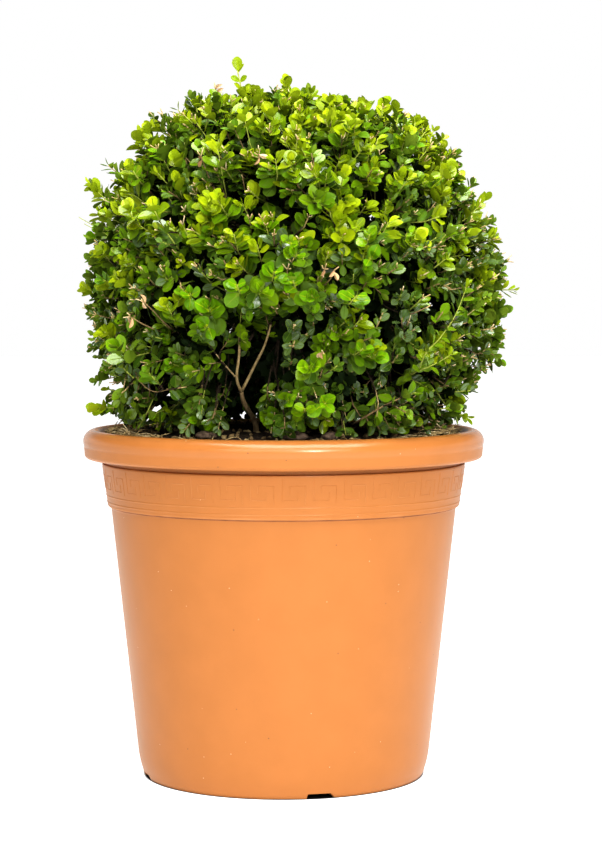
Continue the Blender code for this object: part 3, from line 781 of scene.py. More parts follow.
def strip_slot(first, second):
    """The finish of a strip: hands polish the roll of the rim; the band's raised edges are paler, as wear and
    as a painted highlight, and the groove under the band is darker, as painted shade."""
    radius, height = ((a + b) / 2 for a, b in zip(first, second))
    if height > POT_HEIGHT - ROLL_RADIUS * 1.5 and radius > RIM_RADIUS - ROLL_RADIUS:
        return POLISHED
    below = height - BAND_FOOT
    # Painted shade in the groove under the band's foot
    if GROOVE_SHADE_SPAN[0] < below < GROOVE_SHADE_SPAN[1] and radius > BODY_TOP_RADIUS:
        return GROOVE_SHADE
    # Paler edge and beads: wear, and a painted highlight
    on_foot = WORN_HIGHLIT_EDGE[0] < below < WORN_HIGHLIT_EDGE[1] and radius > BAND_FOOT_RADIUS - 0.002
    on_bead = radius > BAND_FOOT_RADIUS and any(abs(height - z) < BEAD_WIDTH * 0.25 for z in BEAD_HEIGHTS)
    return WORN_HIGHLIT if on_foot or on_bead else PLAIN


def make_pot(finishes):
    """The turned shell, with its foot ring lifted in the notches and its drain holes cut."""
    profile, columns = pot_profile(), pot_columns()
    count = len(profile)
    points = []
    for angle, lift in columns:
        for radius, height in profile:
            if radius > CHANNEL_OUTER - CHANNEL_SLOPE - NOTCH_ROOM and height < CHANNEL_HEIGHT:
                height += (CHANNEL_HEIGHT - height) * lift
            points.append(round_place(radius, angle, height))
    inner = profile.index((CHANNEL_INNER, 0))
    base = len(points)
    points += [(0, 0, 0), (0, 0, FLOOR_TOP)]
    walls, floors, slots = [], [], []
    for column in range(len(columns)):
        here, there = column * count, (column + 1) % len(columns) * count
        for row in range(count):
            below = (row + 1) % count
            if row != inner:
                walls.append((here + row, here + below, there + below, there + row))
                slots.append(strip_slot(profile[row], profile[below]))
        floors += [(here + inner, base, there + inner), (base + 1, here + inner + 1, there + inner + 1)]
    mesh = mesh_of("pot_shell", points, walls + floors)
    mesh.polygons.foreach_set("material_index", slots + [PLAIN] * len(floors))
    pot = new_piece("pot_shell", mesh, finishes)
    drill_drains(pot)
    pot.data.set_sharp_from_angle(angle=SHARP_ANGLE)
    place_piece(pot, "pot", "pot")


def drill_drains(pot):
    """Cuts the drain holes through the floor in the channel."""
    form = bmesh.new()
    size = {"segments": 20, "radius1": DRAIN_RADIUS, "radius2": DRAIN_RADIUS, "depth": DRILL_LENGTH}
    for index in range(DRAIN_COUNT):
        angle = NOTCH_TURN + (index + 0.5) * math.tau / DRAIN_COUNT
        spot = Matrix.Translation(round_place(DRAIN_CIRCLE, angle))
        bmesh.ops.create_cone(form, cap_ends=True, matrix=spot, **size)
    drills = new_piece("drills", mesh_from(form, "drills", False))
    cut = pot.modifiers.new("drains", "BOOLEAN")
    cut.operation = "DIFFERENCE"
    cut.solver = "EXACT"
    cut.object = drills
    graph = bpy.context.evaluated_depsgraph_get()
    settled = bpy.data.meshes.new_from_object(pot.evaluated_get(graph))
    pot.modifiers.clear()
    pot.data = settled
    bpy.data.objects.remove(drills)


def on_band(along, height, rise):
    """A place on the band, by its distance round from the first repeat and its rise off the wall."""
    return round_place(band_radius(height) + rise, -math.pi / 2 + along / BAND_TOP_RADIUS, height)


def key_bar(stroke):
    """The edges of a stroke's bar. Upright bars own the corners, so level ones stop short of them."""
    left, low, right, high = stroke
    half = KEY_LINE / 2
    if left == right:
        return left - half, right + half, low - half, high + half
    return left + half, right - half, low - half, high + half


def make_key(plastic):
    """The raised Greek key: low bars with sloping sides that stand on the band."""
    period = math.tau * BAND_TOP_RADIUS / KEY_REPEATS
    points, faces = [], []
    for repeat in range(KEY_REPEATS):
        for stroke in KEY_STROKES:
            left, right, low, high = key_bar(stroke)
            cuts = max(1, round((right - left) / KEY_CUT))
            start = len(points)
            last = start + cuts * 4
            for cut in range(cuts + 1):
                along = repeat * period + (left + (right - left) * cut / cuts)
                inset = {0: KEY_BEVEL, cuts: -KEY_BEVEL}.get(cut, 0)
                points += [
                    on_band(along, low, -KEY_SINK),
                    on_band(along + inset, low + KEY_BEVEL, KEY_RISE),
                    on_band(along + inset, high - KEY_BEVEL, KEY_RISE),
                    on_band(along, high, -KEY_SINK),
                ]
            for a in range(start, last, 4):
                faces += [(a + k, a + 4 + k, a + 4 + (k + 1) % 4, a + (k + 1) % 4) for k in range(4)]
            faces += [tuple(range(start + 3, start - 1, -1)), tuple(range(last, last + 4))]
    key = new_piece("pot_key_relief", mesh_of("pot_key_relief", points, faces, False), [plastic])
    place_piece(key, "pot")


def soil_height(distance):
    """Height of the soil's surface at a distance from the pot's axis, as in the solids."""
    share = limited((distance - SOIL_FLAT) / (SOIL_END - SOIL_FLAT))
    return SOIL_TOP - (SOIL_TOP - SOIL_EDGE) * share**2


def make_soil(earth):
    """A lumpy top on a plain plug that fills the pot."""
    turns = [column * math.tau / SOIL_COLUMNS for column in range(SOIL_COLUMNS)]
    top = [Vector()]
    for ring in range(1, SOIL_RINGS + 1):
        radius = (ROLL_MOUTH - SOIL_ROOM) * (ring / SOIL_RINGS) ** 0.8
        top += [Vector(round_place(radius, turn)) for turn in turns]
    points = [(place.x, place.y, lumps(place, SOIL_LUMPS, soil_height(place.length))) for place in top]
    wall = inside_line(SEAT_GAP)[::-1]
    points += [round_place(radius, turn, height) for radius, height in wall for turn in turns]
    faces = []
    for column in range(SOIL_COLUMNS):
        after = (column + 1) % SOIL_COLUMNS
        faces.append((0, 1 + column, 1 + after))
        for a in range(1, len(points) - SOIL_COLUMNS, SOIL_COLUMNS):
            b = a + SOIL_COLUMNS
            faces.append((a + column, b + column, b + after, a + after))
    faces.append(tuple(range(len(points) - 1, len(points) - SOIL_COLUMNS - 1, -1)))
    place_piece(new_piece("soil_bed", mesh_of("soil_bed", points, faces), [earth]), "soil", "soil")


def make_stone(name, place, size, mineral):
    """A rough chip of bark or stone that lies on the soil."""
    draw = random.Random(name)
    form = bmesh.new()
    bmesh.ops.create_icosphere(form, subdivisions=4, radius=1)
    seed = Vector((draw.uniform(0, 9), draw.uniform(0, 9), draw.uniform(0, 9)))
    for point in form.verts:
        point.co *= lumps(point.co, STONE_DENTS, 1, seed)
        point.co = Vector(a * b for a, b in zip(point.co, size))
    turn = Matrix.Rotation(draw.uniform(0, math.tau), 4, "Z")
    bmesh.ops.transform(form, matrix=turn, verts=form.verts)
    lift = soil_height(Vector(place).length) + size[2] * STONE_LIFT
    bmesh.ops.translate(form, vec=(*place, lift), verts=form.verts)
    place_piece(new_piece(name + "_rough", mesh_from(form, name + "_rough"), [mineral]), "stone", name)


def smooth_path(start, leave, end, arrive, steps):
    """Points on a smooth curve that leaves and arrives along two directions."""
    pull = (end - start).length / CURVE_EASE
    near = start + leave.normalized() * pull
    far = end - arrive.normalized() * pull
    path = []
    for step in range(steps + 1):
        t = step / steps
        s = 1 - t
        path.append(start * s**3 + near * 3 * s * s * t + far * 3 * s * t * t + end * t**3)
    return path


def taper(first, last, count):
    return [first + (last - first) * step / (count - 1) for step in range(count)]


def bark_lump(spot):
    """The height of bark at a spot, by two stretched noise patterns."""
    return sum(noise.noise(Vector(a * b for a, b in zip(spot, scales))) for scales in BARK_PATTERNS)


class Tubes:
    """Tapering round limbs, gathered into one mesh."""

    def __init__(self):
        self.points, self.faces, self.slots = [], [], []

    def add(self, path, radii, slot=0, sides=5, relief=0.0):
        start = len(self.points)
        across = (path[1] - path[0]).normalized().orthogonal().normalized()
        for index, (place, radius) in enumerate(zip(path, radii)):
            heading = (path[min(index + 1, len(path) - 1)] - path[max(index - 1, 0)]).normalized()
            across = (across - heading * across.dot(heading)).normalized()
            other = heading.cross(across)
            for side in range(sides):
                angle = side * math.tau / sides
                way = across * math.cos(angle) + other * math.sin(angle)
                bulge = 1 + relief * bark_lump(place + way * radius) if relief else 1
                self.points.append(place + way * radius * bulge)
        last = start + (len(path) - 1) * sides
        for a in range(start, last, sides):
            for side in range(sides):
                after = (side + 1) % sides
                self.faces.append((a + side, a + after, a + sides + after, a + sides + side))
        self.faces.append(tuple(range(start + sides - 1, start - 1, -1)))
        self.faces.append(tuple(range(last, last + sides)))
        self.slots += [slot] * (len(self.faces) - len(self.slots))

    def piece(self, name, materials):
        mesh = mesh_of(name, self.points, self.faces)
        mesh.polygons.foreach_set("material_index", self.slots)
        return new_piece(name, mesh, materials)


def fine_limb(path, radii):
    """The same limb with points every BARK_STEP, for bark relief."""
    points, widths = [], []
    for a, b, ra, rb in zip(path, path[1:], radii, radii[1:]):
        cuts = max(1, round((b - a).length / BARK_STEP))
        points += [a.lerp(b, cut / cuts) for cut in range(cuts)]
        widths += [ra + (rb - ra) * cut / cuts for cut in range(cuts)]
    return [*points, path[-1]], [*widths, radii[-1]]


def trunk_path():
    top = Vector((CROWN_CENTRE.x * 0.8, 0, TRUNK_TOP))
    return smooth_path(UP * (SOIL_TOP + SEAT_GAP), UP, top, TRUNK_LEAN, 12)


def trunk_radius(height):
    rise = height - SOIL_TOP
    share = rise / (TRUNK_TOP - SOIL_TOP)
    flare = (TRUNK_FOOT - TRUNK_RADIUS) * math.exp(-rise / FLARE_HEIGHT)
    return TRUNK_RADIUS + (TRUNK_TIP_RADIUS - TRUNK_RADIUS) * share + flare


def trunk_centre(height):
    path = trunk_path()
    for low, high in zip(path, path[1:]):
        if low.z <= height <= high.z:
            return low.lerp(high, (height - low.z) / (high.z - low.z))
    return path[-1]


def side_azimuth(index):
    return -math.pi / 2 + index * math.tau / SIDE_COUNT


def limb_end(index):
    """The end of a mass's bough and its heading there. The top mass has index None."""
    if index is None:
        return Vector((CROWN_CENTRE.x, 0, LEADER_TOP)), UP
    out = Vector(round_place(1, side_azimuth(index)))
    place = Vector((CROWN_CENTRE.x, 0, BOUGH_TIP_HEIGHT)) + out * BOUGH_REACH
    return place, out * math.cos(BOUGH_RISE) + UP * math.sin(BOUGH_RISE)


def stem_ends(foot, head):
    """A low stem's foot on the soil and its head under the crown's older wood."""
    start = Vector((*foot, soil_height(Vector(foot).length)))
    spread = (Vector(head) - CROWN_CENTRE.xy).length
    ceiling = CROWN_CENTRE.z + spread * math.tan(CORE_LOW)
    return start, Vector((*head, ceiling - STEM_RADII[1] - SEAT_GAP))


def bark_piece(node, path, radii, bark):
    tubes = Tubes()
    tubes.add(*fine_limb(path, radii), sides=BARK_SIDES, relief=BARK_RELIEF)
    place_piece(tubes.piece(node + "_bark", [bark]), "bark", node)


def make_limbs(bark):
    """Bark-covered trunk, boughs and stems, in place of the plain solids."""
    trunk = trunk_path()
    bark_piece("main_stem", trunk, [trunk_radius(place.z) for place in trunk], bark)
    for index, name in enumerate(SIDE_NAMES):
        out = Vector(round_place(1, side_azimuth(index)))
        height = BOUGH_LOW + BOUGH_STAGGER * (index % 2)
        start = trunk_centre(height) + out * trunk_radius(height) * 0.6
        path = smooth_path(start, out, *limb_end(index), 10)
        bark_piece("bough_" + name, path, taper(*BOUGH_RADII, len(path)), bark)
    path = smooth_path(trunk[-1], TRUNK_LEAN, *limb_end(None), 10)
    bark_piece("bough_top", path, taper(TRUNK_TIP_RADIUS, BOUGH_RADII[1], len(path)), bark)
    for name, foot, head in LOW_STEMS:
        start, tip = stem_ends(foot, head)
        path = smooth_path(start, UP, tip, tip - start + UP * 0.1, 10)
        bark_piece(name, path, taper(*(radius * STEM_THINNING for radius in STEM_RADII), len(path)), bark)


def crown_direction(azimuth, elevation):
    return Vector(round_place(math.cos(elevation), azimuth, math.sin(elevation)))


def spread_direction(index, step, count, edge):
    """The step-th of count even directions inside a mass, by the golden ratio."""
    u, v = (0.3 + step * GOLDEN_SHARE) % 1, (step + 0.5) / count
    if index is None:
        start = math.sin(TOP_START + edge)
        return crown_direction(u * math.tau, math.asin(start + (1 - start) * v))
    low, high = math.sin(CORE_LOW), math.sin(TOP_START - edge)
    azimuth = side_azimuth(index) + (2 * u - 1) * (SIDE_HALF - edge)
    return crown_direction(azimuth, math.asin(low + (high - low) * v))


def clip_reach(direction):
    """How far the clipped outline lies from the crown's centre: fuller at the shoulders and the skirt."""
    elevation = math.asin(max(-1, min(1, direction.z)))
    shoulder = SHOULDER_RISE * math.exp(-(((elevation - SHOULDER_AT) / SHOULDER_WIDTH) ** 2))
    skirt = SKIRT_SPREAD * limited((SKIRT_START - elevation) / SKIRT_RANGE)
    share = math.prod(limited((direction.z - faded) / (full - faded)) for faded, full in BULGE_FADES)
    bulge = RIGHT_BULGE * max(0, direction.x) ** 2 * share
    tilt = (TOP_TILT * direction.x + TOP_SINK) * max(0, direction.z - TOP_TILT_FROM)
    return CROWN_RADIUS + shoulder + skirt + bulge - tilt + lumps(direction, CROWN_LUMPS)


def mass_at(direction):
    """The side mass that a direction lies in, or None for the top mass."""
    if direction.z > math.sin(TOP_START):
        return None
    turn = (math.atan2(direction.y, direction.x) + math.pi / 2 + SIDE_HALF) % math.tau
    return int(turn / (2 * SIDE_HALF)) % SIDE_COUNT


def front_place(x, z, lift):
    """The place on the front of the clipped outline that is seen at (x, z)."""
    across = Vector((x - CROWN_CENTRE.x, 0, z - CROWN_CENTRE.z))
    depth = math.sqrt(max(0, (CROWN_RADIUS + lift) ** 2 - across.length_squared))
    return CROWN_CENTRE + across - Vector((0, depth, 0))


def hollow_depth(direction):
    """How much deeper than the clipped outline the foliage lies this way."""
    depth = 0
    for (x, z), half, most in HOLLOWS:
        off = (direction * CROWN_RADIUS - front_place(x, z, 0) + CROWN_CENTRE).length / half
        depth = max(depth, most * max(0, 1 - off * off))
    return depth


def seen_lines():
    """The stem and twigs that stay in view in the hollows: how wide a view, and their places."""
    twigs = [(WINDOWS[kind], [Vector(place) for place in places]) for kind, _, *places in SEEN_TWIGS]
    return [(WINDOWS["bare"], stem_ends(*LOW_STEMS[0][1:])), *twigs]


class Leaves:
    """Leaves of one mass: each is one row of numbers, made into meshes at the end."""

    def __init__(self):
        self.full, self.plain = [], []

    def add(self, base, along, up, shape, tones, crease):
        """The shape is length, width ratio, fold, curl and the share that the shears left. The tones are
        those of the upper side, the under side and the midrib."""
        shaded = TONE_NAMES[tones[0] // VARIANTS] == "dark"
        (self.plain if shaded else self.full).append((*base, *along, *up, *shape, *tones, crease))

    def pieces(self, name, materials):
        yield new_piece("leaves_" + name, leaf_mesh(np.array(self.full), FULL_LEAF), materials)
        yield new_piece("shade_leaves_" + name, leaf_mesh(np.array(self.plain), PLAIN_LEAF), materials)


def leaf_places(form):
    """Where each corner of a leaf lies along it: base, tip, both edges of the upper and the under side,
    left rib, right rib and under rib."""
    outline, ribs = form[:2]
    return [0, 1, *outline * 4, *ribs * 3]


def leaf_chains(form):
    """Corner numbers of the chains from base to tip, in the order of leaf_places."""
    outline, ribs = form[:2]
    chains, start = [], 2
    for count in (*[len(outline)] * 4, *[len(ribs)] * 3):
        chains.append([0, *range(start, start + count), 1])
        start += count
    return chains


def leaf_points(table, form):
    """Corner places of every leaf."""
    outline, ribs, rib_share, margin = form
    n, m = len(outline), len(ribs)
    base, along, up = table[:, 0:3], table[:, 3:6], table[:, 6:9]
    length, ratio, fold, curl, cut = (table[:, k, None] for k in range(9, 14))
    side = np.cross(along, up)
    side /= np.linalg.norm(side, axis=1, keepdims=True)
    up = np.cross(side, along)
    rows = np.array(leaf_places(form))[None, :] * np.ones_like(length)
    last = 1 + n * np.arange(1, 5)
    rows[:, last] = np.where(cut < 1, CUT_ROW, rows[:, last])
    t = rows * cut
    width = length * ratio / 2 * np.sin(np.pi * t**BROAD_AT) ** FULLNESS
    width[:, 2 : 2 + 2 * n] -= margin
    width[:, 2 + 4 * n :] = length * rib_share
    x = width * np.repeat([0, -1, 1, -1, 1, -1, 1, 0], [2, n, n, n, n, m, m, m])
    z = -curl * length * t**2 + fold * np.abs(x)
    z[:, 2 + 2 * n : 2 + 4 * n] -= MARGIN_GAP
    z[:, -m:] -= LEAF_THICKNESS
    points = base[:, None] + side[:, None] * x[..., None]
    return points + along[:, None] * (t * length)[..., None] + up[:, None] * z[..., None]


def stitch(first, second, places):
    """Triangles between two chains of corners that share both ends."""
    i = j = 0
    faces = []
    while i < len(first) - 1 or j < len(second) - 1:
        ended = j == len(second) - 1
        if ended or (i < len(first) - 1 and places[first[i + 1]] <= places[second[j + 1]]):
            face = (first[i], first[i + 1], second[j])
            i += 1
        else:
            face = (first[i], second[j + 1], second[j])
            j += 1
        if len(set(face)) == 3:
            faces.append(face)
    return faces


def leaf_faces(form):
    """Faces of one leaf as (corners, part): part 0 is the upper side, 1 the under side and 2 the rib."""
    _, _, rib_share, margin = form
    places = leaf_places(form)
    left, right, under_left, under_right, left_rib, right_rib, under = leaf_chains(form)
    if not rib_share:
        left_rib = right_rib
    if not margin:
        under_left, under_right = left, right
    upper = stitch(left_rib, left, places) + stitch(right, right_rib, places)
    faces = [(face, 2 if 0 in face and rib_share else 0) for face in upper]
    if rib_share:
        faces += [(face, 2) for face in stitch(right_rib, left_rib, places)]
    lower = stitch(under, under_left, places) + stitch(under_right, under, places)
    return faces + [(face[::-1], 1) for face in lower]


def leaf_mesh(table, form):
    """One mesh of every leaf in the table."""
    faces, parts = zip(*leaf_faces(form))
    used = sorted({corner for face in faces for corner in face})
    points = leaf_points(table, form)[:, used]
    count, size = points.shape[:2]
    corners = np.array([used.index(corner) for face in faces for corner in face])
    loops = (corners[None, :] + np.arange(count)[:, None] * size).ravel()
    mesh = bpy.data.meshes.new("leaves")
    mesh.vertices.add(count * size)
    mesh.vertices.foreach_set("co", points.ravel())
    mesh.loops.add(len(loops))
    mesh.loops.foreach_set("vertex_index", loops)
    mesh.polygons.add(count * len(faces))
    mesh.polygons.foreach_set("loop_start", np.arange(0, len(loops), 3))
    mesh.polygons.foreach_set("material_index", table[:, 14:17].astype(int)[:, list(parts)].ravel())
    mesh.polygons.foreach_set("use_smooth", np.ones(count * len(faces), bool))
    mesh.update(calc_edges=True)
    sharpen(mesh, form, used, table[:, 17] > 0)
    return mesh


def sharpen(mesh, form, used, creased):
    """Marks every leaf's outline sharp, and the midrib of the creased ones."""
    size, chains = len(used), leaf_chains(form)
    outline, midrib = (np.zeros((size, size), bool) for _ in range(2))
    for table, group in ((outline, chains[:4]), (midrib, chains[4:])):
        for chain in group:
            for a, b in zip(chain, chain[1:]):
                if a in used and b in used:
                    a, b = used.index(a), used.index(b)
                    table[a, b] = table[b, a] = True
    ends = np.empty(len(mesh.edges) * 2, np.int32)
    mesh.edges.foreach_get("vertices", ends)
    a, b = ends[::2] % size, ends[1::2] % size
    sharp = outline[a, b] | (midrib[a, b] & creased[ends[::2] // size])
    mesh.attributes.new("sharp_edge", "BOOLEAN", "EDGE")
    mesh.attributes["sharp_edge"].data.foreach_set("value", sharp)


def path_place(path, back):
    """The place and heading at a distance back from the path's end."""
    for a, b in zip(path[-2::-1], path[:0:-1]):
        length = (b - a).length
        if back <= length:
            return b.lerp(a, back / length), (b - a).normalized()
        back -= length
    return path[0], (path[1] - path[0]).normalized()


def side_way(heading, angle):
    """A direction square to a heading."""
    return Matrix.Rotation(angle, 3, heading) @ heading.orthogonal().normalized()


def as_seen(place):
    """Where a place is seen, in the upright plane through the pot's axis."""
    share = EYE.y / (EYE.y - place.y)
    return Vector((EYE.x + (place.x - EYE.x) * share, EYE.z + (place.z - EYE.z) * share))


def hides_sky(place):
    """Whether a place lies before one of the spots where the sky shows through."""
    if place.z > SKY_TOP:
        return False
    spot = as_seen(place)
    return any((spot - Vector(sky)).length < SKY_HALF for sky in SKY_SPOTS)


def hides_twig(place, lines, extra=0.0):
    """Whether a place lies in front of one of the stems and twigs that stay in view."""
    if place.y > WINDOW_FRONT or place.z > WINDOW_TOP:
        return False
    spot = as_seen(place)
    for half, line in lines:
        for a, b in zip(line, line[1:]):
            start, along = as_seen(a), as_seen(b) - as_seen(a)
            share = limited((spot - start).dot(along) / along.length_squared)
            nearer = place.y < a.y + (b.y - a.y) * share
            if nearer and (spot - start - along * share).length < half + extra:
                return True
    return False


def fits(base, along, length, lines):
    """Whether a leaf stays above the soil, clear of the pot's rim and out of the hollows."""
    ends = (base + along * length * 0.5, base + along * length)
    for place in ends:
        distance = place.xy.length
        on_rim = distance > ROLL_MOUTH - RIM_ROOM
        ground, share = (POT_HEIGHT, RIM_DROOP) if on_rim else (soil_height(distance), SOIL_DROOP)
        if place.z < ground + RIM_CLEARANCE + length * share:
            return False
    return not any(hides_twig(place, lines) or hides_sky(place) for place in ends)


def spray_kind(height, draw):
    """Bright new growth is commoner towards the top and dull older leaves towards the foot, whose darker
    colour is also painted shade there.
    """
    share = limited((height - KIND_HEIGHT) / KIND_RANGE)
    weights = [max(LEAST_WEIGHT, foot + rise * share) for foot, rise in KIND_WEIGHTS.values()]
    return draw.choices(list(KIND_WEIGHTS), weights)[0]


class Mass:
    """One mass of foliage, by the source's rule carried on to finer twigs. The top one has index None."""

    def __init__(self, name, index, lines):
        self.index, self.lines = index, lines
        self.draw = random.Random("scene_" + name)
        self.leaves, self.tubes, self.branches = Leaves(), Tubes(), []

    def grow(self):
        self.add_branches()
        for direction in self.directions(SHOOTS):
            if self.draw.random() >= LOW_THINNING * max(MID_THINNING, -direction.z):
                self.add_crown_shoot(direction)
        self.add_shade_shoots()
        self.add_marked_shoots()
        if self.index is not None:
            self.add_low_growth()

    def loose(self, size):
        return Vector(self.draw.gauss(0, size) for _ in range(3))

    def tone(self, name):
        """The material number of a tone, in any of its variants."""
        return TONE_NAMES.index(name) * VARIANTS + self.draw.randrange(VARIANTS)

    def directions(self, count):
        """Even directions inside the mass, each moved a little."""
        for step in range(count):
            direction = spread_direction(self.index, step, count, SHOOT_EDGE)
            yield (direction + self.loose(SHOOT_JITTER)).normalized()

    def root(self, direction, share):
        """A place on a branch that points nearly this way, and the branch's heading there."""
        branch = max(self.branches, key=lambda pair: pair[0].dot(direction) + self.draw.uniform(0, 0.02))[1]
        spot = share * (len(branch) - 1)
        low = min(int(spot), len(branch) - 2)
        return branch[low].lerp(branch[low + 1], spot - low), (branch[low + 1] - branch[low]).normalized()

    def shoot_heading(self, direction):
        """Shoots lean out of the crown and turn up to the light, and neighbours lean alike."""
        lean = Vector(noise.noise(direction * 4 + Vector((9 * axis, 3, 5))) for axis in range(3))
        loose = self.loose(0.22)
        rise = self.draw.uniform(*SHOOT_RISES) * (1 - max(0, direction.z))
        return (direction + UP * rise + lean * 0.6 + loose).normalized()

    def shoot(self, root, tip, heading, kind, pairs=0, back=0.0, stray=False):
        """A shoot whose inner end is wood painted near black as shade, and all of it on a shade or dark
        shoot. It is left out where it would hide a twig that stays in view or, unless it strays past the
        outline, a spot of sky."""
        path = smooth_path(*root, tip, heading, 4)
        for place in path[1:]:
            if hides_twig(place, self.lines, STEM_WINDOW) or hides_sky(place) and not stray:
                return None
        wood = GREEN if kind in ("new", "green", "fresh") else self.draw.choice((BROWN, BROWN, TAN, GREEN))
        if kind in ("shade", "dark"):
            wood = SHADE_WOOD
        radii = taper(*SHOOT_RADII, len(path))
        # The inner end of every shoot is wood painted near black as shade
        self.tubes.add(path[:3], radii[:3], SHADE_WOOD, sides=4)
        self.tubes.add(path[2:], radii[2:], wood, sides=4)
        fuller = 2 if kind in ("deep", "blue") else 0
        self.dress(path, kind, pairs or self.draw.randint(5, 7) + fuller, back)
        return path

    def dress(self, path, kind, pairs, back=0.0):
        """Sets opposite pairs of leaves on a shoot, from its tip back, each pair turned a quarter."""
        draw = self.draw
        sizes, tones = SPRAYS[kind]
        young = kind in ("new", "green")
        turn = draw.uniform(0, math.pi)
        variant = draw.randrange(VARIANTS)
        size = draw.uniform(*sizes)
        ratio = draw.uniform(*(YOUNG_RATIO if young else GROWN_RATIO))
        spread = draw.uniform(*SPREADS)
        flat = draw.random() < FLAT_SHARE or kind == "olive"
        for pair in range(pairs):
            rank = min(pair, len(PAIR_GAPS) - 1)
            back += PAIR_GAPS[rank] * draw.uniform(0.75, 1.3)
            place, heading = path_place(path, back)
            outward = (place - CROWN_CENTRE).normalized()
            if flat:
                turn = draw.uniform(-0.3, 0.3)
                across = heading.cross(outward).normalized()
            else:
                turn += math.pi / 2 + draw.uniform(-0.35, 0.35)
                across = heading.orthogonal().normalized()
            for half in (0, math.pi):
                if rank > 1 and draw.random() < MISSING_SHARE:
                    continue
                side = Matrix.Rotation(turn + half + draw.uniform(-0.2, 0.2), 3, heading) @ across
                base = place + side * TWIG_HALF
                along, up = self.leaf_ways(heading, side, outward, PAIR_SPLAYS[rank] + spread, flat)
                length = size * PAIR_SIZES[rank] * draw.uniform(0.82, 1.14)
                if fits(base, along, length, self.lines):
                    self.add_leaf(base, along, up, length, ratio, young, tones[rank], variant)

    def leaf_ways(self, heading, side, outward, splay, flat):
        """The ways that a leaf points and faces, splayed off its twig and turned to the light."""
        draw = self.draw
        light = (outward * 0.7 + UP * 0.6).normalized()
        splay = math.radians(splay + draw.uniform(-16, 16))
        along = heading * math.cos(splay) + side * math.sin(splay)
        up = heading * math.sin(splay) - side * math.cos(splay)
        along = (along + light * draw.uniform(-0.15, 0.2)).normalized()
        facing = draw.uniform(*(FLAT_FACING if flat else LOOSE_FACING))
        return along, (up + light * facing + side.cross(heading) * draw.uniform(-0.5, 0.5)).normalized()

    def add_leaf(self, base, along, up, length, ratio, young, tone, variant):
        draw = self.draw
        width, fold, curl = ratio * draw.uniform(0.9, 1.1), draw.uniform(0, 0.5), draw.uniform(-0.14, 0.24)
        shape = (length, width, fold, curl, self.clip_share(base, along, length, young))
        blade = TONE_NAMES.index(tone) * VARIANTS + variant
        under, rib = self.tone(UNDER_TONES.get(tone, "under")), self.tone(RIB_TONES.get(tone, "under_lime"))
        self.leaves.add(base, along, up, shape, (blade, under, rib), draw.random() < CREASED_SHARE)

    def clip_share(self, base, along, length, young):
        """The share of a leaf that the shears left."""
        tip = base + along * length - CROWN_CENTRE
        if young or self.draw.random() < MISSED_SHARE:
            return 1
        limit = clip_reach(tip.normalized()) + 0.002
        foot = (base - CROWN_CENTRE).length
        if tip.length <= limit or foot >= limit:
            return 1
        return max(LEAST_LEFT, (limit - foot) / (tip.length - foot))

    def add_stubs(self, path):
        """A fan of twig ends that the shears cut."""
        draw = self.draw
        tip, heading = path_place(path, draw.uniform(0, 0.002))
        count = draw.choice((1, 2, 2, 3, 3, 4))
        turn = draw.uniform(0, math.tau)
        for stub in range(count):
            side = side_way(heading, turn + stub * math.tau / count)
            way = (heading + side * draw.uniform(0.15, 0.85)).normalized()
            end = tip + way * draw.uniform(*STUB_LENGTHS)
            bend = tip.lerp(end, 0.5) + side * draw.uniform(-0.0006, 0.0006)
            self.tubes.add([tip, bend, end], STUB_RADII, draw.choice((TAN, TAN, CUT)), sides=4)

    def add_branches(self):
        """Branches that fan out from the end of the mass's bough, as (direction, path)."""
        limb_tip, heading = limb_end(self.index)
        hub = limb_tip + heading * HUB_REACH
        self.tubes.add([limb_tip, limb_tip.lerp(hub, 0.5), hub], HUB_RADII, sides=8)
        for step in range(BRANCHES):
            direction = spread_direction(self.index, step, BRANCHES, BRANCH_EDGE)
            end = CROWN_CENTRE + direction * BRANCH_TIP
            end.z = max(end.z, CROWN_FLOOR + 0.01)
            start = limb_tip.lerp(hub, self.draw.uniform(0.35, 1))
            path = smooth_path(start, heading, end, direction + UP * 0.15, 8)
            # The branches are wood painted near black as shade
            self.tubes.add(path, taper(*BRANCH_RADII, len(path)), SHADE_WOOD, sides=6)
            self.branches.append((direction, path))
            self.add_inner_leaves(path)

    def add_inner_leaves(self, path):
        """Leaves on short twigs round the inner wood, painted near black as shade."""
        draw = self.draw
        length = sum((b - a).length for a, b in zip(path, path[1:]))
        for spray in range(INNER_SPRAYS):
            place, heading = path_place(path, length * (spray + 0.3) / INNER_SPRAYS)
            away = self.loose(1).normalized()
            twig = [place, place + away * 0.012, place + away * draw.uniform(0.022, 0.036)]
            for rank in range(3):
                node, along = path_place(twig, 0.001 + rank * 0.009)
                turn = draw.uniform(0, math.tau)
                for half in (0, math.pi):
                    side = side_way(along, turn + half)
                    way = (along * 0.5 + side).normalized()
                    size = draw.uniform(0.016, 0.022)
                    if fits(node, way, size, self.lines):
                        up = (UP + heading * 0.5 + side * 0.4).normalized()
                        self.leaves.add(node, way, up, (size, *INNER_SHAPE), (self.tone("dark"),) * 3, 1)

    def add_crown_shoot(self, direction):
        """A shoot that ends at the clipped outline, or deeper in a hollow; some are clipped and some fork."""
        draw = self.draw
        depth = hollow_depth(direction)
        reach = clip_reach(direction) - depth - SHOOT_SINK + draw.uniform(*TIP_SPREAD)
        tip = CROWN_CENTRE + direction * reach
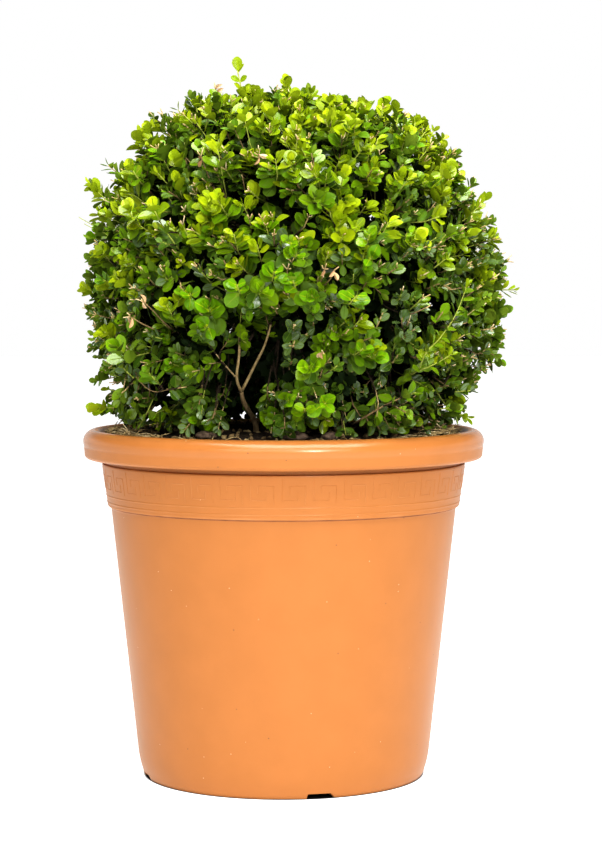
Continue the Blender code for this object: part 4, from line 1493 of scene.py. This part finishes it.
        # In a hollow the shoots take darker kinds, partly older leaves and partly painted shade in the recess
        kind = draw.choice(HOLLOW_KINDS) if depth > HOLLOW_START else spray_kind(tip.z, draw)
        if kind == "new":
            tip += direction * draw.uniform(0.001, 0.008)
        if tip.z < CROWN_FLOOR:
            tip.z = CROWN_FLOOR + draw.uniform(0, FLOOR_SPREAD)
        root = self.root(direction, draw.uniform(0.3, 0.95))
        clipped = kind != "new" and draw.random() < CLIPPED_SHARE
        heading = self.shoot_heading(direction)
        path = self.shoot(root, tip, heading, kind, back=CLIPPED_BARE if clipped else 0)
        if path and clipped:
            self.add_stubs(path)
        if path and draw.random() < SIDE_SHOOT_SHARE:
            self.add_side_shoot(path, kind)

    def add_side_shoot(self, path, kind):
        """A short shoot that forks off below another one's tip."""
        draw = self.draw
        start, heading = path_place(path, draw.uniform(0.012, 0.028))
        side = side_way(heading, draw.uniform(0, math.tau))
        way = (heading + side * draw.uniform(0.6, 1.1) + UP * 0.2).normalized()
        tip = start + way * draw.uniform(0.014, 0.026)
        offset = tip - CROWN_CENTRE
        if offset.length < clip_reach(offset.normalized()) and tip.z > CROWN_FLOOR:
            fork = self.shoot((start, way), tip, (way + heading).normalized(), kind, 3)
            if fork and draw.random() < FORK_CLIPPED_SHARE:
                self.add_stubs(fork)

    def add_shade_shoots(self):
        """Leafy twigs a little way inside the clipped outline, their leaves painted mostly near black as
        shade.
        """
        draw = self.draw
        for direction in self.directions(SHADE_SHOOTS):
            reach = clip_reach(direction) - hollow_depth(direction)
            tip = CROWN_CENTRE + direction * reach * draw.uniform(*SHADE_REACH)
            tip.z = max(tip.z, CROWN_FLOOR + draw.uniform(0, FLOOR_SPREAD))
            root = self.root(direction, draw.uniform(0.3, 0.8))
            heading = self.shoot_heading(direction)
            self.shoot(root, tip, heading, draw.choice(("shade", "dark", "dark")), 5)

    def add_low_growth(self):
        """Dull leafy shoots under the crown, down to just above the soil; the inner ones are painted near
        black as shade.
        """
        draw = self.draw
        inner, outer = LOW_RING
        for step in range(LOW_SHOOTS):
            turn = (step * GOLDEN_SHARE + draw.uniform(0, 0.03)) % 1
            out = Vector(round_place(1, side_azimuth(self.index) + (2 * turn - 1) * SIDE_HALF))
            radius = inner + (outer - inner) * draw.random() ** 0.6
            spread, kinds = LOW_OUTSIDE if radius > LOW_OUTER else LOW_INSIDE
            tip = out * radius + UP * (LOW_FLOOR + draw.uniform(0, spread))
            if radius > LOW_INNER and hollow_depth((tip - CROWN_CENTRE).normalized()) > HOLLOW_START:
                continue
            start = tip + UP * draw.uniform(0.03, 0.05) - out * draw.uniform(0.01, 0.035)
            loose = self.loose(0.45)
            heading = (out + UP * draw.uniform(-0.7, 0.5) + loose).normalized()
            self.shoot((start, out - UP), tip, heading, draw.choice(kinds), 4)

    def own(self, rows):
        """The rows whose tip lies in this mass, as tip, direction and the rest of the row."""
        for tip, *rest in rows:
            direction = (tip - CROWN_CENTRE).normalized()
            if mass_at(direction) == self.index:
                yield tip, direction, *rest

    def add_marked_shoots(self):
        """The shoots, dead leaves and strays that have a place of their own, where they lie in this mass."""
        draw = self.draw
        for tip, direction, z in self.own((front_place(x, z, NEW_LIFT), z) for x, z in NEW_SHOOTS):
            root = self.root(direction, 0.8)
            rise, lean = draw.uniform(0.3, 1.3), draw.gauss(0, 0.3)
            heading = (direction + UP * rise + Vector((lean, 0, 0))).normalized()
            self.shoot(root, tip, heading, "new" if z > GREEN_BELOW else "green", 6)
        for tip, direction in self.own((front_place(x, z, 0),) for x, z in DEAD_LEAVES):
            root = self.root(direction, 0.8)
            self.add_dead_twig(smooth_path(*root, tip, direction + UP * 0.6, 5))
        for tip, direction, kind in self.own((Vector(place), kind) for place, kind in STRAYS):
            self.add_stray(tip, direction, kind)
        if self.index is None:
            self.add_tall_shoot()

    def add_dead_twig(self, path):
        """A bare brown twig with a few dry curled leaves."""
        draw = self.draw
        self.tubes.add(path, taper(*SHOOT_RADII, len(path)), BROWN)
        self.add_stubs(path)
        for back in (0.001, 0.004):
            place, heading = path_place(path, back)
            side = side_way(heading, draw.uniform(0, math.tau))
            along = (side * 0.6 - UP * draw.uniform(-0.4, 1)).normalized()
            tone = self.tone("dead")
            shape = (draw.uniform(0.007, 0.0105), 0.5, 0.9, draw.uniform(0.1, 0.5), 1)
            self.leaves.add(place, along, side.cross(along), shape, (tone,) * 3, 1)

    def add_stray(self, tip, direction, kind):
        """A shoot or a bare twig that sticks out past the clipped outline."""
        root = self.root(direction, 0.9)
        heading = (direction + UP * 0.5).normalized()
        if kind == "bare":
            self.tubes.add(smooth_path(*root, tip, heading, 6), taper(0.0007, 0.0003, 7), GREEN)
        else:
            kind, pairs = ("new", 3) if kind == "pair" else (kind, 5)
            self.shoot(root, tip, heading, kind, pairs, stray=True)

    def add_tall_shoot(self):
        """The long new shoot that stands above the crown, its leaves in far-apart pairs."""
        foot, tip = (Vector(place) for place in TALL_SHOOT)
        root = self.root((foot - CROWN_CENTRE).normalized(), 0.9)
        path = [*smooth_path(*root, foot, tip - foot, 5), foot.lerp(tip, 0.5), tip]
        self.tubes.add(path, taper(*SHOOT_RADII, len(path)), GREEN)
        for back, along, up, size in TALL_LEAVES:
            place, _ = path_place(path, back)
            tones = [self.tone(name) for name in ("fresh", "under_lime", "under_lime")]
            ways = (Vector(along).normalized(), Vector(up).normalized())
            self.leaves.add(place, *ways, (size, *TALL_SHAPE), tones, 0)

    def add_seen_twigs(self, name):
        """The twigs in the hollows of the lower front, some bare below and some leafy all along. They come
        last, and their leaves may hide one another."""
        self.draw, self.lines = random.Random("seen_" + name), ()
        for kind, radii, *places in SEEN_TWIGS:
            points = [Vector(place) for place in places]
            if mass_at((points[-1] - CROWN_CENTRE).normalized()) != self.index:
                continue
            inner = [b - a for a, b in zip(points, points[2:])]
            ways = [points[1] - points[0], *inner, points[-1] - points[-2]]
            path = points[:1]
            for a, b, leave, arrive in zip(points, points[1:], ways, ways[1:]):
                path += smooth_path(a, leave, b, arrive, 4)[1:]
            wood = {"bare": TAN, "brown": BROWN, "leafy": GREEN}[kind]
            self.tubes.add(path, taper(*radii, len(path)), wood, sides=8, relief=0.1)
            if kind == "leafy":
                self.dress(path, "olive", 13)
            else:
                self.add_end_shoots(path)

    def add_end_shoots(self, path):
        """Three leafy shoots near the end of a twig that stays in view."""
        for fork in range(3):
            start, heading = path_place(path, fork * 0.009)
            way = (heading + self.loose(0.5) + UP * 0.3 - Vector((0, 0.3, 0))).normalized()
            tip = start + way * self.draw.uniform(0.018, 0.03)
            self.shoot((start, heading), tip, way, self.draw.choice(("mid", "deep")), 4)


def make_foliage(materials, wood):
    lines = seen_lines()
    for index, name in [*enumerate(SIDE_NAMES), (None, "top")]:
        mass = Mass(name, index, lines)
        mass.grow()
        mass.add_seen_twigs(name)
        for piece in mass.leaves.pieces(name, materials):
            place_piece(piece, "leaves", "foliage_" + name)
        place_piece(mass.tubes.piece("twigs_" + name, wood), "bark", "foliage_" + name)


def flat_way(draw, rise):
    """A direction that lies nearly flat."""
    return Vector((draw.gauss(0, 1), draw.gauss(0, 1), draw.gauss(0, rise))).normalized()


def add_straw(tubes, heap, half, draw):
    """A straw in a heap, or anywhere by the wall if the heap goes all round."""
    all_round = half == math.pi
    angle = draw.uniform(-math.pi, math.pi) if all_round else heap + draw.gauss(0, 0.5) * half
    radius = ROLL_MOUTH - 0.005 - abs(draw.gauss(0, 0.012))
    pile = 0 if all_round else HEAP_HEIGHT * max(0, 1 - abs(angle - heap) / half)
    place = Vector(round_place(radius, angle, soil_height(radius) + 0.001 + draw.uniform(0, pile)))
    way = flat_way(draw, 0.18)
    length = draw.uniform(*STRAW_LENGTH)
    bend = place + way * length * 0.5 + UP * draw.uniform(0.0002, 0.0016)
    end = place + way * length
    if end.xy.length < SOIL_END:
        tubes.add([place, bend, end], STRAW_RADII, draw.choice((BROWN, TAN, TAN, CUT)), sides=4)


def add_chip(tubes, draw):
    """A chip of bark anywhere on the soil."""
    angle = draw.uniform(-math.pi, math.pi)
    radius = (ROLL_MOUTH - 0.006) * draw.uniform(0.15, 1) ** 0.5
    place = Vector(round_place(radius, angle, soil_height(radius) + 0.0006))
    way = flat_way(draw, 0.3)
    size = draw.uniform(*CHIP_SIZE)
    ends = [place - way * size * 1.4, place, place + way * size * 1.4]
    radii = [size * 0.5, size, size * 0.4]
    tubes.add(ends, radii, draw.choice((BROWN, BROWN, BROWN, TAN)), sides=6, relief=0.25)


def make_litter(wood):
    """Dry straw, twig bits and bark chips on the soil, heaped by the wall at the left and the right."""
    draw = random.Random("litter")
    tubes = Tubes()
    for heap, half, share in STRAW_HEAPS:
        for _ in range(round(STRAWS * share)):
            add_straw(tubes, heap, half, draw)
    for _ in range(CHIPS):
        add_chip(tubes, draw)
    place_piece(tubes.piece("soil_litter", wood), "soil", "soil")


def behind_share(tree, vector):
    """1 in the directions that lie behind the plant as photographed, 0 to its sides and front."""
    unit = add_node(tree, "VectorMath", {0: vector}, operation="NORMALIZE").outputs[0]
    turn = add_node(tree, "SeparateXYZ", {"Vector": unit}).outputs["Y"]
    return ramp_node(tree, turn, tuple(zip(BACKDROP_TURNS, (BLACK, WHITE))))


def make_floor():
    """A white floor that glows softly, with a painted shadow where the pot stands: near black there and
    without glow.
    """
    floor_white, tree, shader = principled("studio floor", FLOOR_WHITE, *PAINTED)
    place = add_node(tree, "TexCoord").outputs["Object"]
    away = add_node(tree, "VectorMath", {0: place}, operation="LENGTH").outputs["Value"]
    # Painted shadow: 0 inside the pot's foot, where the floor is near black and gives no glow
    clear = rising_share(tree, away, *BASE_SHADE)
    outer = mixed(tree, behind_share(tree, place), SIDE_FLOOR, FAR_GLOW)
    glow = mixed(tree, rising_share(tree, away, *GLOW_RANGE), NEAR_GLOW, outer)
    give(tree, shader.inputs["Base Color"], mixed(tree, clear, PAINTED_SHADOW_BLACK, FLOOR_WHITE))
    give(tree, shader.inputs["Emission Color"], mixed(tree, clear, BLACK, glow))
    give(tree, shader.inputs["Emission Strength"], 1)
    size = FLOOR_SIZE
    corners = [(-size, -size, 0), (size, -size, 0), (size, size, 0), (-size, size, 0)]
    floor = new_piece("studio_floor", mesh_of("studio_floor", corners, [(0, 1, 2, 3)], False), [floor_white])
    floor.location.z = FLOOR_DROP
    floor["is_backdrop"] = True


def make_world():
    """A white backdrop behind the plant, pale to the sides and dimmer above."""
    world = bpy.data.worlds.new("studio white")
    world.use_nodes = True
    tree = world.node_tree
    place = add_node(tree, "TexCoord").outputs["Generated"]
    height = add_node(tree, "SeparateXYZ", {"Vector": place}).outputs["Z"]
    low = mixed(tree, behind_share(tree, place), SIDE_GLOW, WHITE)
    high = ramp_node(tree, height, tuple(zip(HORIZON, (BLACK, WHITE))))
    give(tree, tree.nodes["Background"].inputs["Color"], mixed(tree, high, low, SKY_DIM))
    bpy.context.scene.world = world


def make_lamp(name, place, target, size, power):
    lamp = bpy.data.lights.new(name, "AREA")
    lamp.shape = "RECTANGLE"
    lamp.size, lamp.size_y = size
    lamp.energy = power
    light = new_piece(name, lamp)
    light.location = place
    light.rotation_euler = (Vector(target) - Vector(place)).to_track_quat("-Z", "Y").to_euler()


def make_camera():
    """The photograph's view: a long lens a little above the rim, tilted slightly down."""
    lens = bpy.data.cameras.new("camera")
    lens.sensor_width = SENSOR
    lens.lens = LENS
    camera = new_piece("camera", lens)
    camera.location = EYE
    camera.rotation_euler = (TILT, 0, 0)
    bpy.context.scene.camera = camera


def main():
    bpy.context.scene.view_settings.view_transform = "Standard"
    bpy.context.scene.view_settings.gamma = PRINT_GAMMA
    make_camera()
    make_floor()
    make_world()
    for name, row in LAMPS.items():
        make_lamp(name, *row)
    plain, polished = pot_material("terracotta plastic", SATIN), pot_material("polished plastic", POLISH)
    # The band's raised edges and the key are paler: wear, and a painted highlight
    worn_highlit = patterned("worn and highlit plastic", WORN_HIGHLIT_TERRACOTTA, WORN, WORN_HIGHLIT_NOISE, WORN_HIGHLIGHT_STOPS)[0]
    make_pot([plain, worn_highlit, rough_material("groove shade plastic"), polished])
    make_key(worn_highlit)
    make_soil(soil_material())
    mineral = rough_material("stone")
    for name, place, size in STONES:
        make_stone(name, place, size, mineral)
    make_limbs(rough_material("bark"))
    wood = [rough_material(name) for name in TWIG_WOODS]
    make_litter(wood)
    make_foliage(leaf_materials(), wood)


main()
boxes = {"cad": cad_box, "visual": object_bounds()}
{name: [list(corner) for corner in box] for name, box in boxes.items()}
